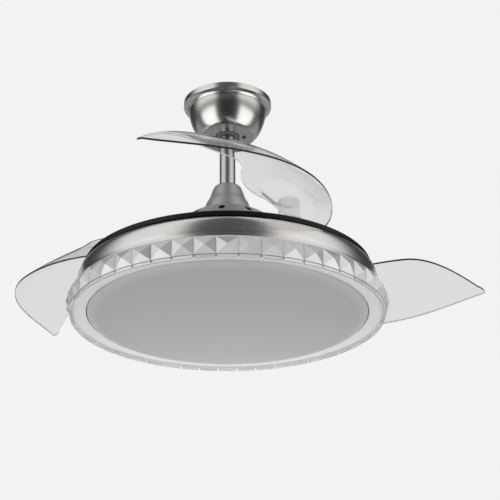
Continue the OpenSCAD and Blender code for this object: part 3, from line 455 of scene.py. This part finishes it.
def canopy_side(d):
    """The canopy's wall from rim to flat, d inwards from its outside."""
    r = CANOPY_R - d
    step = bezier([(r - 1, -10 + d / 2), (r - 6, -11 + d / 2), (r - 8, -15 + d / 2)], 8)
    groove = [(r - 8.1, -15.6 + d / 2), (r - 9.1, -16 + d / 2), (r - 9.1, -17 + d / 2),
              (r - 8.3, -17.4 + d / 2)]  # about 1 mm deep
    bell = bezier([groove[-1], (r - 9, -CANOPY_H / 2), (CANOPY_FLAT + 10 - d, -CANOPY_H + 6 + d),
                   (CANOPY_FLAT, -CANOPY_H + d)], 28, skip=1)
    return [(r, -0.5), (r, -9 + d / 2)] + step + groove + bell


shell = turned([(CANOPY_HOLE, -CANOPY_H)] + canopy_side(0)[::-1] + canopy_side(CANOPY_WALL)
               + [(CANOPY_HOLE, -CANOPY_H + CANOPY_WALL)])
rounded(shell, 0.4)
# The flat's downward faces get the darker nickel, which is painted shade.
for face in shell.faces:
    if face.normal.z < -0.99 and face.calc_center_median().z < (1 - CANOPY_H) * MM:
        face.material_index = 1
shell = drilled(shell, *[drill(SCREW_HOLE_R, -CANOPY_H - 2, -CANOPY_H + 4, (side * SCREW_X, 0))
                         for side in (-1, 1)])
piece("canopy_shell", shell, "ceiling_fitting", "canopy", "satin_nickel", nickel, nickel_painted_shade)

# %% [markdown]
# The screws have low domed heads with a cross recess: a turned head on a shank, with two crossed slots cut
# out.


# %% Canopy screws
HEAD_LOW = -65.2  # the screw heads' lowest point under the ceiling


def cross_slot(length, width, depth):
    """Two crossed boxes that cut into a screw's head; millimetres."""
    bars = []
    for size in ((length, width), (width, length)):
        bm = bmesh.new()
        bmesh.ops.create_cube(bm, size=MM)
        bmesh.ops.scale(bm, verts=bm.verts, vec=(*size, depth))
        bmesh.ops.translate(bm, verts=bm.verts, vec=(0, 0, HEAD_LOW * MM))
        bars.append(bm)
    return bars


screws = []
for side in (-1, 1):
    screw = turned([(0, 0), (1.6, 0.1), (2.8, 0.5), (3.4, 1.2), (3.5, 2.1), (2, 2.1), (2, 9), (1.6, 9.2),
                    (0, 9.2)], steps=48, base=HEAD_LOW)
    for slot in cross_slot(length=4.4, width=0.9, depth=2):
        screw = drilled(screw, slot)
    bmesh.ops.translate(screw, verts=screw.verts, vec=(side * SCREW_X * MM, 0, 0))
    screws.append(screw)
piece("canopy_screw_pair", merged(*screws), "ceiling_fitting", "canopy_screws", "fitting_steel", dark_zinc)

# %% [markdown]
# ## Rod and coupling cover
# The rod is a plain tube with two cross holes for its pins. The coupling cover that hides the joint below
# it is a slim bell: a round shoulder, a waist and a flared foot, each a curve that starts where the last
# ended.

# %% Downrod
LAMP = -380  # the lamp's lower plane under the ceiling
ROD_R, ROD_WALL = 12.75, 1.8
ROD_LOW, ROD_HIGH = LAMP + 178.05, -30.562
PIN_HEIGHTS, PIN_BORE_R = (-37.562, LAMP + 190), 3.05
rod = turned([(ROD_R, ROD_LOW), (ROD_R, ROD_HIGH), (ROD_R - ROD_WALL, ROD_HIGH), (ROD_R - ROD_WALL, ROD_LOW)],
             steps=96)
rounded(rod, 0.3)
bores = []
for height in PIN_HEIGHTS:
    bore = drill(PIN_BORE_R, -20, 20, (0, 0))
    bmesh.ops.rotate(bore, verts=bore.verts, matrix=Matrix.Rotation(math.pi / 2, 3, "Y"))
    bmesh.ops.translate(bore, verts=bore.verts, vec=(0, 0, height * MM))
    bores.append(bore)
piece("rod_tube", drilled(rod, *bores), "hanging", "downrod", "satin_nickel", rod_nickel)

# %% Coupling cover
COVER_R, COVER_LOW, COVER_HIGH, COVER_WALL = 40, 175, 226, 1.4


def cover_side(d):
    """The bell from the rod down to its foot, d inwards from its outside."""
    shoulder = (COVER_R - 16.5 - d, COVER_HIGH - 7)
    waist = (COVER_R - 9.5 - d, (COVER_LOW + COVER_HIGH) / 2)
    top = bezier([(ROD_R + 0.5, COVER_HIGH - d), (ROD_R + 7 - d, COVER_HIGH - d),
                  (shoulder[0] - 1.5, COVER_HIGH - 2 - d), shoulder], 12)
    neck = bezier([shoulder, (shoulder[0] + 3, shoulder[1] - 7), (waist[0] - 3, waist[1] + 6), waist], 14,
                  skip=1)
    foot = bezier([waist, (waist[0] + 4.5, waist[1] - 7), (COVER_R - 3 - d, COVER_LOW + 11),
                   (COVER_R - d, COVER_LOW)], 16, skip=1)
    return top + neck + foot


bell = turned(cover_side(0) + cover_side(COVER_WALL)[::-1], base=LAMP, steps=128)
piece("coupling_bell", rounded(bell, 0.25), "hanging", "coupling_cover", "cover_gray", bell_gray)

# %% [markdown]
# ## Motor cover
# A shallow dome turns with the motor. Twelve oval slots let warm air out. They are larger than in the
# construction model, because the photograph shows them so. A slot is a circle pulled apart into an oval,
# extruded into a cutting tool and turned to its place. Three screw holes go through the foot, which stands
# on the disc.

# %% Motor cover
DISC = 78.5  # top of the disc over the lamp's lower plane
DOME_R, DOME_TOP, DOME_HOLE, DOME_WALL, DOME_FOOT = 98, 174, 27.95, 1.2, 8
SLOTS, SLOT_R, SLOT_PULL, SLOT_AT, FIRST_SLOT = 12, 4.4, 6, 78, -96.3  # the first slot's place in degrees
SLOT_DEEP = 40  # how far a cutting tool reaches down from the dome's top
FOOT_HOLE_R, FOOT_HOLES_AT = 2.05, 88


def dome_side(d):
    """The dome from its hole to its foot, d inwards from its outside."""
    return bezier([(DOME_HOLE, DOME_TOP - d), (DOME_R - 40, DOME_TOP - d),
                   (DOME_R - 32 - d, DOME_TOP - 8 - d), (DOME_R - d, DOME_TOP - 36)], 36)


foot = [(DOME_R, DISC), (DOME_R - DOME_FOOT, DISC), (DOME_R - DOME_FOOT, DISC + DOME_WALL),
        (DOME_R - DOME_WALL, DISC + DOME_WALL)]
dome = turned(dome_side(0) + foot + dome_side(DOME_WALL)[::-1], base=LAMP)
rounded(dome, 0.3)
tools = []
for number in range(SLOTS):
    slot = bmesh.new()
    bmesh.ops.create_circle(slot, cap_ends=True, segments=32, radius=SLOT_R * MM)
    for vert in slot.verts:
        vert.co.x += math.copysign(SLOT_PULL * MM, vert.co.x)
    sides = bmesh.ops.extrude_face_region(slot, geom=slot.faces[:])
    bmesh.ops.translate(slot, verts=[v for v in sides["geom"] if isinstance(v, bmesh.types.BMVert)],
                        vec=(0, 0, SLOT_DEEP * MM))
    bmesh.ops.recalc_face_normals(slot, faces=slot.faces)
    bmesh.ops.translate(slot, verts=slot.verts, vec=(SLOT_AT * MM, 0, (LAMP + DOME_TOP - SLOT_DEEP) * MM))
    place = math.radians(FIRST_SLOT + 360 / SLOTS * number)
    bmesh.ops.rotate(slot, verts=slot.verts, matrix=Matrix.Rotation(place, 3, "Z"))
    tools.append(slot)
tools += [drill(FOOT_HOLE_R, LAMP + DISC - 1, LAMP + DISC + 6, place) for place in ring_of(3, FOOT_HOLES_AT)]
piece("motor_dome", drilled(dome, *tools), "rotor", "motor_cover", "cover_gray", bell_gray)

# %% [markdown]
# ## Lamp body
# The lamp hangs under the disc: a bellied nickel band on top, a white ring behind the crystals, and an opal
# bowl. All three are turned.

# %% Trim band
BAND_R, BAND_LOW, BAND_HIGH, BAND_WALL = 233, 33, 67, 1.2
outside = bezier([(BAND_R + 0.2, BAND_LOW + 8), (BAND_R + 1.6, BAND_LOW + 18), (BAND_R + 1, BAND_HIGH - 4),
                  (BAND_R - 5, BAND_HIGH)], 24)
inside = bezier([(BAND_R - BAND_WALL, BAND_LOW + 8), (BAND_R + 0.4, BAND_LOW + 18),
                 (BAND_R - 0.4, BAND_HIGH - 5), (BAND_R - 5.5, BAND_HIGH - BAND_WALL)], 24)
lip = [(BAND_R - 6, BAND_LOW), (BAND_R - 0.8, BAND_LOW), (BAND_R + 0.2, BAND_LOW + 1),
       (BAND_R + 0.4, BAND_LOW + 5), (BAND_R, BAND_LOW + 6)]
band = turned(lip + outside + [(BAND_R - 11, BAND_HIGH), (BAND_R - 11, BAND_HIGH - BAND_WALL)] + inside[::-1]
              + [(BAND_R - BAND_WALL, BAND_LOW + BAND_WALL), (BAND_R - 6, BAND_LOW + BAND_WALL)],
              base=LAMP, steps=256)
piece("nickel_band", rounded(band, 0.25), "hanging", "trim_band", "satin_nickel", nickel)

# %% White ring
BOWL_R, RING_R = 218, 240.6
BACK_R = RING_R - 1  # the crystals' back
ring = turned([(BOWL_R + 0.3, 4), (BACK_R - 2.4, 3.6), (BACK_R - 1.8, 0.8), (BACK_R - 0.3, 0.8),
               (BACK_R - 0.3, BAND_LOW - 0.3), (BAND_R - 11, BAND_LOW - 0.3),
               (BAND_R - 11, BAND_LOW - 2.2), (BACK_R - 2.5, BAND_LOW - 2.2), (BACK_R - 2.5, 3),
               (BOWL_R + 3, 5), (BOWL_R + 2.2, 17), (BOWL_R + 0.3, 17)], base=LAMP, steps=256)
piece("white_ring", rounded(ring, 0.3), "hanging", "lens_frame", "ring_white", ring_white)

# %% Diffuser
EDGE = 11  # radius of the bowl's rounded edge
BOWL_LOW, BOWL_WALL, BRIM_LOW, BRIM_TOP, BRIM = -2, 2, 17.3, 19, 3
edge_centre = (BOWL_R - EDGE, BOWL_LOW + EDGE)
brim = [(BOWL_R, BRIM_LOW), (BOWL_R + BRIM, BRIM_LOW), (BOWL_R + BRIM, BRIM_TOP),
        (BOWL_R - BOWL_WALL, BRIM_TOP)]
bowl = turned([(0, BOWL_LOW)] + arc(edge_centre, EDGE, -90, 0, 16) + brim
              + arc(edge_centre, EDGE - BOWL_WALL, 0, -90, 16) + [(0, BOWL_LOW + BOWL_WALL)],
              base=LAMP, steps=256)
piece("opal_bowl", rounded(bowl, 0.2), "hanging", "diffuser", "diffuser_opal", opal)

# %% [markdown]
# ## Crystals
# Forty-eight square crystals stand side by side round the ring, each a low pyramid with a flat silvered
# back and a plain strip under it. One is made: a cube is shaped to the ring's slice, its front face is
# poked, which raises a point in its middle, and its edges are ground a little. Then the one is copied
# round. Every facet has a tone of its own, painted light and shade in a face attribute that the crystal
# finish reads. The tones are chosen from the photograph, not worked out from how cut glass bends light.

# %% Crystals
CRYSTALS, POINT, LAMP_R = 48, 5.5, 250  # a pyramid rises by POINT
TILE_LOW, TILE_TOP, TILE_SPARE = -1.8, 28.5, 0.15  # each is that much narrower at both sides than its slice
LIP = 4.5  # height of the plain strip under each pyramid
STRIP_GAP, STRIP_BACK, STRIP_SPARE = 0.4, 0.5, 1.4
half = math.pi / CRYSTALS
edge_r = LAMP_R - POINT


def slice_of_ring(low, high, reach, spare):
    """One straight slice of the crystal row, with a silvered back."""
    bm = bmesh.new()
    bmesh.ops.create_cube(bm, size=2)
    for vert in bm.verts:
        outer = vert.co.x > 0
        beside = ((reach if outer else BACK_R) * math.sin(half) - spare) * vert.co.y
        height = LAMP + (high if vert.co.z > 0 else low)
        vert.co = Vector((reach * math.cos(half) if outer else BACK_R, beside, height)) * MM
    min(bm.faces, key=lambda f: f.calc_center_median().x).material_index = 1
    return bm


one = slice_of_ring(TILE_LOW + LIP, TILE_TOP, edge_r, TILE_SPARE)
front = max(one.faces, key=lambda f: f.calc_center_median().x)
bmesh.ops.poke(one, faces=[front], offset=(LAMP_R - edge_r * math.cos(half)) * MM)
rounded(one, 0.25, degrees=8, segments=1)
strip = slice_of_ring(TILE_LOW, TILE_LOW + LIP - STRIP_GAP, edge_r - STRIP_BACK, STRIP_SPARE)
for face in strip.faces:
    face.material_index = 0
one = merged(one, rounded(strip, 0.3, segments=1))
tiles = []
for number in range(CRYSTALS):
    tile = one.copy()
    bmesh.ops.rotate(tile, verts=tile.verts, matrix=Matrix.Rotation(2 * half * number, 3, "Z"))
    tiles.append(tile)
one.free()
jewels = piece("crystal_row", merged(*tiles), "hanging", "crystals", "crystal_glass", crystal, silvered,
               flats=False)

# %% Painted light and shade of the facets
PAINTED_FACET_TONES = {"top": 0.55, "bottom": 0.85, "left": 1.0, "right": 0.4, "under": 0.0, "strip under": 0.35,
         "rest": 0.85}
UNEVEN, BEAT = 0.1, 2.4  # how much and how fast the tones change from crystal to crystal


def facet_of(facing, on_strip):
    """Which facet this is; facing is its normal, turned as if its crystal stood on the X axis."""
    if facing.z < -0.8:
        return "strip under" if on_strip else "under"
    if facing.x <= 0.5 or on_strip or max(abs(facing.y), abs(facing.z)) <= 0.15:
        return "rest"
    if abs(facing.z) > abs(facing.y):
        return "top" if facing.z > 0 else "bottom"
    return "right" if facing.y > 0 else "left"


# Painted light and shade: each facet's tone, lighter on one side and darker on the other.
tones = jewels.data.attributes.new("painted_facet_light", "FLOAT", "FACE")
for polygon in jewels.data.polygons:
    polygon.use_smooth = False  # ground facets are flat
    number = round(math.atan2(polygon.center.y, polygon.center.x) / (2 * half))
    facing = Matrix.Rotation(-2 * half * number, 3, "Z") @ polygon.normal
    facet = facet_of(facing, polygon.center.z < (LAMP + LIP + TILE_LOW) * MM)
    tones.data[polygon.index].value = clamp(PAINTED_FACET_TONES[facet] + UNEVEN * math.sin(BEAT * number + len(facet)))
print("facets:", len(tones.data))

# %% [markdown]
# ## Blades
# A blade is one curved clear sheet. Its outline has a long leading edge and a long trailing edge, each two
# Bezier curves, that start together on the round root and end at the rounded tip. A grid is laid between
# the two edges and lifted to the sheet's arch, then the whole grid is extruded upwards for the thickness.
# Round the pivot, where the clear boss stands under it, the sheet is flat.

# %% Blade outline
LENGTH, BULGE, LOBE, SHEET = 332, 118.5, 50, 3
SNUG = 0.998  # a curve bulges past the construction model's straight bits, so it is drawn a little smaller
lead_root = [(-LOBE, 0), (-LOBE, 1.22 * LOBE), (0.91 * LOBE, BULGE), (BULGE, BULGE)]
lead_out = [(BULGE, BULGE), (0.64 * LENGTH, BULGE), (LENGTH - 54, 0.36 * BULGE), (LENGTH - 5, 7)]
trail_root = [(-LOBE, 0), (-LOBE, -1.24 * LOBE), (0.97 * LOBE, -1.29 * LOBE), (1.76 * LOBE, -0.39 * LOBE)]
trail_out = [(1.76 * LOBE, -0.39 * LOBE), (0.41 * LENGTH, 27), (0.475 * LENGTH, -52), (LENGTH - 11, -5)]
ROOT_ROWS, OUT_ROWS, TIP_ROWS = 36, 60, 12
TIP_BULGE, TIP_TURN = 8, 70


def blade_edge(root, out):
    """One edge of the outline, from the root to the tip."""
    line = bezier(root, ROOT_ROWS, start=0.05) + bezier(out, OUT_ROWS, skip=1)
    return [(u * SNUG, v * SNUG) for u, v in line]


lead_line, trail_line = blade_edge(lead_root, lead_out), blade_edge(trail_root, trail_out)
tip_mid = (Vector(lead_line[-1]) + Vector(trail_line[-1])) / 2
tip_half = (Vector(lead_line[-1]) - Vector(trail_line[-1])) / 2
tip_out = Vector((tip_half.y, -tip_half.x)).normalized() * TIP_BULGE
for row in range(1, TIP_ROWS + 1):
    a = math.radians(TIP_TURN * row / TIP_ROWS)
    lead_line.append(tuple(tip_mid + tip_half * math.cos(a) + tip_out * math.sin(a)))
    trail_line.append(tuple(tip_mid - tip_half * math.cos(a) + tip_out * math.sin(a)))
print("blade outline:", len(lead_line), "rows")


# %% [markdown]
# The sheet's height at a point: the leading edge runs low and climbs a little to the tip, the trailing edge
# is lifted by the rise, with a share more in between for the arch. Near the tip and the root the rise fades
# out.


# %% Blade sheet
LEAD_LIFT, LEAD_CLIMB, BLADE_RISE, CAMBER = 5.3, 3.5, 59, 1.14
FADE_FROM = 0.61  # share of the length where the rise begins to fade out
SEAT_LIFT, SEAT_R, SEAT_EASE = 44.5, 21, 25  # the flat round the pivot, and how wide it eases into the arch
COLUMNS = 30


def sheet_height(u, v, share):
    """Height of the sheet's underside over the disc, at a share of the way from lead to trail."""
    fade = math.cos(math.pi / 2 * clamp((u - FADE_FROM * LENGTH) / ((1 - FADE_FROM) * LENGTH)))
    fade *= math.sqrt(math.sin(math.pi / 2 * clamp((u + LOBE) / LOBE)))
    height = LEAD_LIFT + LEAD_CLIMB * max(0, u) / LENGTH
    height += BLADE_RISE * fade * (share + CAMBER * share * (1 - share))
    ease = clamp((math.hypot(u, v) - SEAT_R) / SEAT_EASE)
    return SEAT_LIFT + (height - SEAT_LIFT) * ease * ease * (3 - 2 * ease)


def blade_sheet():
    """The bare sheet at its height, with its pivot on the axis and its rim on material 1."""
    bm = bmesh.new()
    rows = len(lead_line)
    bmesh.ops.create_grid(bm, x_segments=rows - 1, y_segments=COLUMNS, size=1)
    for vert in bm.verts:
        row = round((vert.co.x + 1) / 2 * (rows - 1))
        share = (vert.co.y + 1) / 2
        u, v = Vector(lead_line[row]).lerp(Vector(trail_line[row]), share)
        vert.co = Vector((u, v, DISC + LAMP + sheet_height(u, v, share))) * MM
    top = bmesh.ops.extrude_face_region(bm, geom=bm.faces[:])
    raised = set(v for v in top["geom"] if isinstance(v, bmesh.types.BMVert))
    bmesh.ops.translate(bm, verts=list(raised), vec=(0, 0, SHEET * MM))
    bmesh.ops.recalc_face_normals(bm, faces=bm.faces)
    for face in bm.faces:
        if 0 < sum(v in raised for v in face.verts) < len(face.verts):
            face.material_index = 1
    return rounded(bm, 0.5, degrees=60, segments=2)


# %% [markdown]
# The boss is a clear cup under the sheet, open below, with a screwed flange. It stops a tenth of a
# millimetre under the sheet, because light can't be followed rightly through two clear solids that overlap.


# %% Blade boss and blades
BOSS_R, BOSS_WALL, BOSS_LOW, FLANGE_R, FLANGE = 16, 3, 84.7, 24, 4
BOSS_TOP = DISC + SEAT_LIFT - 0.1
FLANGE_HOLE_R, FLANGE_HOLES_AT = 1.65, 20
PIVOT_R, FIRST_PIVOT, YAW = 185, 29.3, 112


def blade_boss():
    """The boss, standing on the axis and not yet under its blade."""
    ceiling = DISC + SEAT_LIFT - BOSS_WALL
    boss = turned([(BOSS_R - BOSS_WALL, BOSS_LOW), (FLANGE_R, BOSS_LOW), (FLANGE_R, BOSS_LOW + FLANGE),
                   (BOSS_R, BOSS_LOW + FLANGE), (BOSS_R, BOSS_TOP), (0, BOSS_TOP), (0, ceiling),
                   (BOSS_R - BOSS_WALL, ceiling)], base=LAMP, steps=64)
    rounded(boss, 0.5)
    low = LAMP + BOSS_LOW
    return drilled(boss, *[drill(FLANGE_HOLE_R, low - 1, low + FLANGE + 1, place, sides=24)
                           for place in ring_of(3, FLANGE_HOLES_AT, 60)])


for number in range(3):
    sheet = blade_sheet()
    bmesh.ops.rotate(sheet, verts=sheet.verts, matrix=Matrix.Rotation(math.radians(180 + YAW), 3, "Z"))
    boss = blade_boss()
    for face in boss.faces:
        face.material_index = 2
    blade = merged(sheet, boss)
    bmesh.ops.translate(blade, verts=blade.verts, vec=(PIVOT_R * MM, 0, 0))
    turn = math.radians(FIRST_PIVOT - 90 + 120 * number)
    bmesh.ops.rotate(blade, verts=blade.verts, matrix=Matrix.Rotation(turn, 3, "Z"))
    piece(f"blade_sheet_{number + 1}", blade, f"blade_{number + 1}_body", f"blade_{number + 1}",
          "blade_clear", blade_clear, painted_rim_shade, boss_clear)

# %% [markdown]
# ## Finishes on the construction parts
# What is hidden or small keeps its construction mesh. Each gets a finish that such a part usually has.


# %% Finishes on construction parts
def coat(material, *names):
    """Give construction parts a finish."""
    for name in names:
        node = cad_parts[name]
        if not node.material_slots:
            node.data.materials.append(material)
        for slot in node.material_slots:
            slot.material = material


def each(name):
    """The names of the three alike parts."""
    return [f"{name}_{number + 1}" for number in range(3)]


coat(zinc, "hanger_bracket", "ball_pin", "rod_pin", "rod_clip", "shaft_nut", "flange_screws", "lamp_flange",
     "shell_screws", "disc_screws", "lens_clips", *each("blade_screws"), *each("pin_clip"))
coat(ground, "shaft_pin", "motor_shaft", "lower_bearing", "upper_bearing", "return_springs", "ring_guides",
     *each("pivot_pin"))
coat(cast, "yoke", "rotor_lower_shell", "pivot_hubs")
# Black, painted shade seen through the dome's slots.
coat(painted_slot_shade, "rotor_upper_shell")
coat(dark_zinc, "yoke_screws")
coat(core, "stator_core")
coat(copper, "windings")
coat(bronze, "pivot_bushes")
coat(ferrite, "magnets")
coat(disc_black, "rotor_disc")
coat(ball_gray, "hanger_ball")
coat(rubber, "stop_bumpers")
coat(acetal, "sync_ring", *each("blade_gear"))
coat(chassis_white, "chassis")
coat(box_white, "receiver_box", "terminal_block", "led_driver", "fan_controller")
coat(board_white, "led_board")
coat(phosphor, "led_chips")
print("construction parts finished")

# %% [markdown]
# ## Studio
# The photograph has a pale even background, and its metal mirrors a room that isn't shown. This studio is a
# guess at that room, tuned to the photograph's own view: two large soft lights low at the sides, and a
# small one behind and under the lamp for the far side of the bowl. The floor lies well below the fan; a
# glow that only the camera and rays through the clear blades see brings it near the background's tone. The
# world gives the background: the camera, and rays that come through the clear blades, see one pale grey.
# Mirror-like rays see the same grey, dimmed or lifted by direction in a pattern that fits the front view,
# and matt surfaces get a plain even light.

# %% Floor
BACKDROP = 0.888  # the photograph's background as light
FLOOR_AT, FLOOR_HALF, FLOOR_GLOW = -2.6, 8, 0.5
floor_mesh = bmesh.new()
bmesh.ops.create_grid(floor_mesh, x_segments=1, y_segments=1, size=FLOOR_HALF)
bmesh.ops.translate(floor_mesh, verts=floor_mesh.verts, vec=(0, 0, FLOOR_AT))
floor = as_object("floor", floor_mesh)
floor_paint = finish("floor", (BACKDROP, BACKDROP, BACKDROP), 0.9, grain, 40.0, tone=0.01, bump=0)
tree = floor_paint.node_tree
shader = tree.nodes["Principled BSDF"]
shader.inputs["Emission Color"].default_value = (BACKDROP, BACKDROP, BACKDROP, 1)
rays = add(tree, "ShaderNodeLightPath").outputs
direct = reckon(tree, "MAXIMUM", rays["Is Camera Ray"], rays["Is Transmission Ray"])
tree.links.new(reckon(tree, "MULTIPLY", direct, FLOOR_GLOW), shader.inputs["Emission Strength"])
floor.visible_glossy = False  # metal mirrors the world's grey below too, and not the floor's edge
floor.data.materials.append(floor_paint)
print("floor at", floor.bound_box[0][2], "m")

# %% World
world = bpy.data.worlds.new("studio")
world.use_nodes = True
bpy.context.scene.world = world
tree = world.node_tree
path = add(tree, "ShaderNodeLightPath")
way = add(tree, "ShaderNodeSeparateXYZ")
tree.links.new(add(tree, "ShaderNodeTexCoord").outputs["Generated"], way.inputs[0])


def across(low, high, out_low, out_high):
    """A smooth step over the angle from the front; degrees."""
    return spread(tree, bearing, math.radians(low), math.radians(high), out_low, out_high)


def between(share, first, second):
    """The first value, moved towards the second by a share."""
    step = reckon(tree, "SUBTRACT", second, first)
    return reckon(tree, "ADD", first, reckon(tree, "MULTIPLY", share, step))


FILL = 0.42  # the even light on matt surfaces
sideways = reckon(tree, "ABSOLUTE", way.outputs[0])
ahead = reckon(tree, "MULTIPLY", way.outputs[1], -1.0)  # 1 straight at the front, -1 at the back
height = way.outputs[2]
bearing = reckon(tree, "ARCTAN2", sideways, ahead)  # 0 at the front, pi at the back, both sides alike
front_dark = across(24, 38, 0.07, 0.62)
back = reckon(tree, "ADD", across(78, 116, 1.0, 0.1), across(140, 165, 0.0, 0.8))
low_back = reckon(tree, "MULTIPLY", across(95, 115, 0.0, 0.8), spread(tree, height, -0.05, 0.15, 1.0, 0.0))
back = reckon(tree, "MAXIMUM", back, low_back)
high_up = spread(tree, height, 0.06, 0.26, 0.5, 2.2)
lift = between(across(95, 120, 1.0, 0.0), 1.0, high_up)  # the sides are brighter high up
nadir = spread(tree, height, -0.97, -0.7, 0.3, 1.0)  # darker straight below
mask = reckon(tree, "MULTIPLY", front_dark, back)
mask = reckon(tree, "MULTIPLY", mask, reckon(tree, "MULTIPLY", lift, nadir))
straight = reckon(tree, "LESS_THAN", path.outputs["Glossy Depth"], 0.5)  # not yet mirrored
mirrored = reckon(tree, "MAXIMUM", reckon(tree, "SUBTRACT", 1.0, straight), path.outputs["Is Glossy Ray"])
lit = between(mirrored, FILL, reckon(tree, "MULTIPLY", mask, BACKDROP))
clear_way = reckon(tree, "MAXIMUM", straight, across(80, 100, 0.0, 1.0))
through = reckon(tree, "MULTIPLY", path.outputs["Is Transmission Ray"], clear_way)
light = between(reckon(tree, "MAXIMUM", path.outputs["Is Camera Ray"], through), lit, BACKDROP)
tree.links.new(light, tree.nodes["Background"].inputs["Color"])
print("world:", world.name)


# %% Soft lights
def softbox(name, azimuth, height, distance, width, tall, radiance):
    """A rectangular light that faces the fan; azimuth 0 stands at the front, 90 at the right."""
    lamp = bpy.data.lights.new(name, "AREA")
    lamp.shape = "RECTANGLE"
    lamp.size, lamp.size_y = width, tall
    lamp.energy = math.pi * width * tall * radiance
    obj = bpy.data.objects.new(name, lamp)
    a = math.radians(azimuth)
    obj.location = (distance * math.sin(a), -distance * math.cos(a), height)
    obj.rotation_euler = (math.pi / 2, 0, a)
    obj.visible_camera = obj.visible_transmission = False  # neither seen straight nor through a clear blade
    bpy.context.scene.collection.objects.link(obj)
    return obj


for label, azimuth in (("left light", -62), ("right light", 62)):
    softbox(label, azimuth, height=-1.1, distance=1.5, width=1.4, tall=2.0, radiance=1.6)
low_light = softbox("low light", 180, height=-0.66, distance=0.66, width=0.6, tall=0.3, radiance=5.6)
low_light.visible_glossy = False
low_light.rotation_euler = (math.radians(180 + 60), 0, 0)  # it faces forwards, 30 degrees up
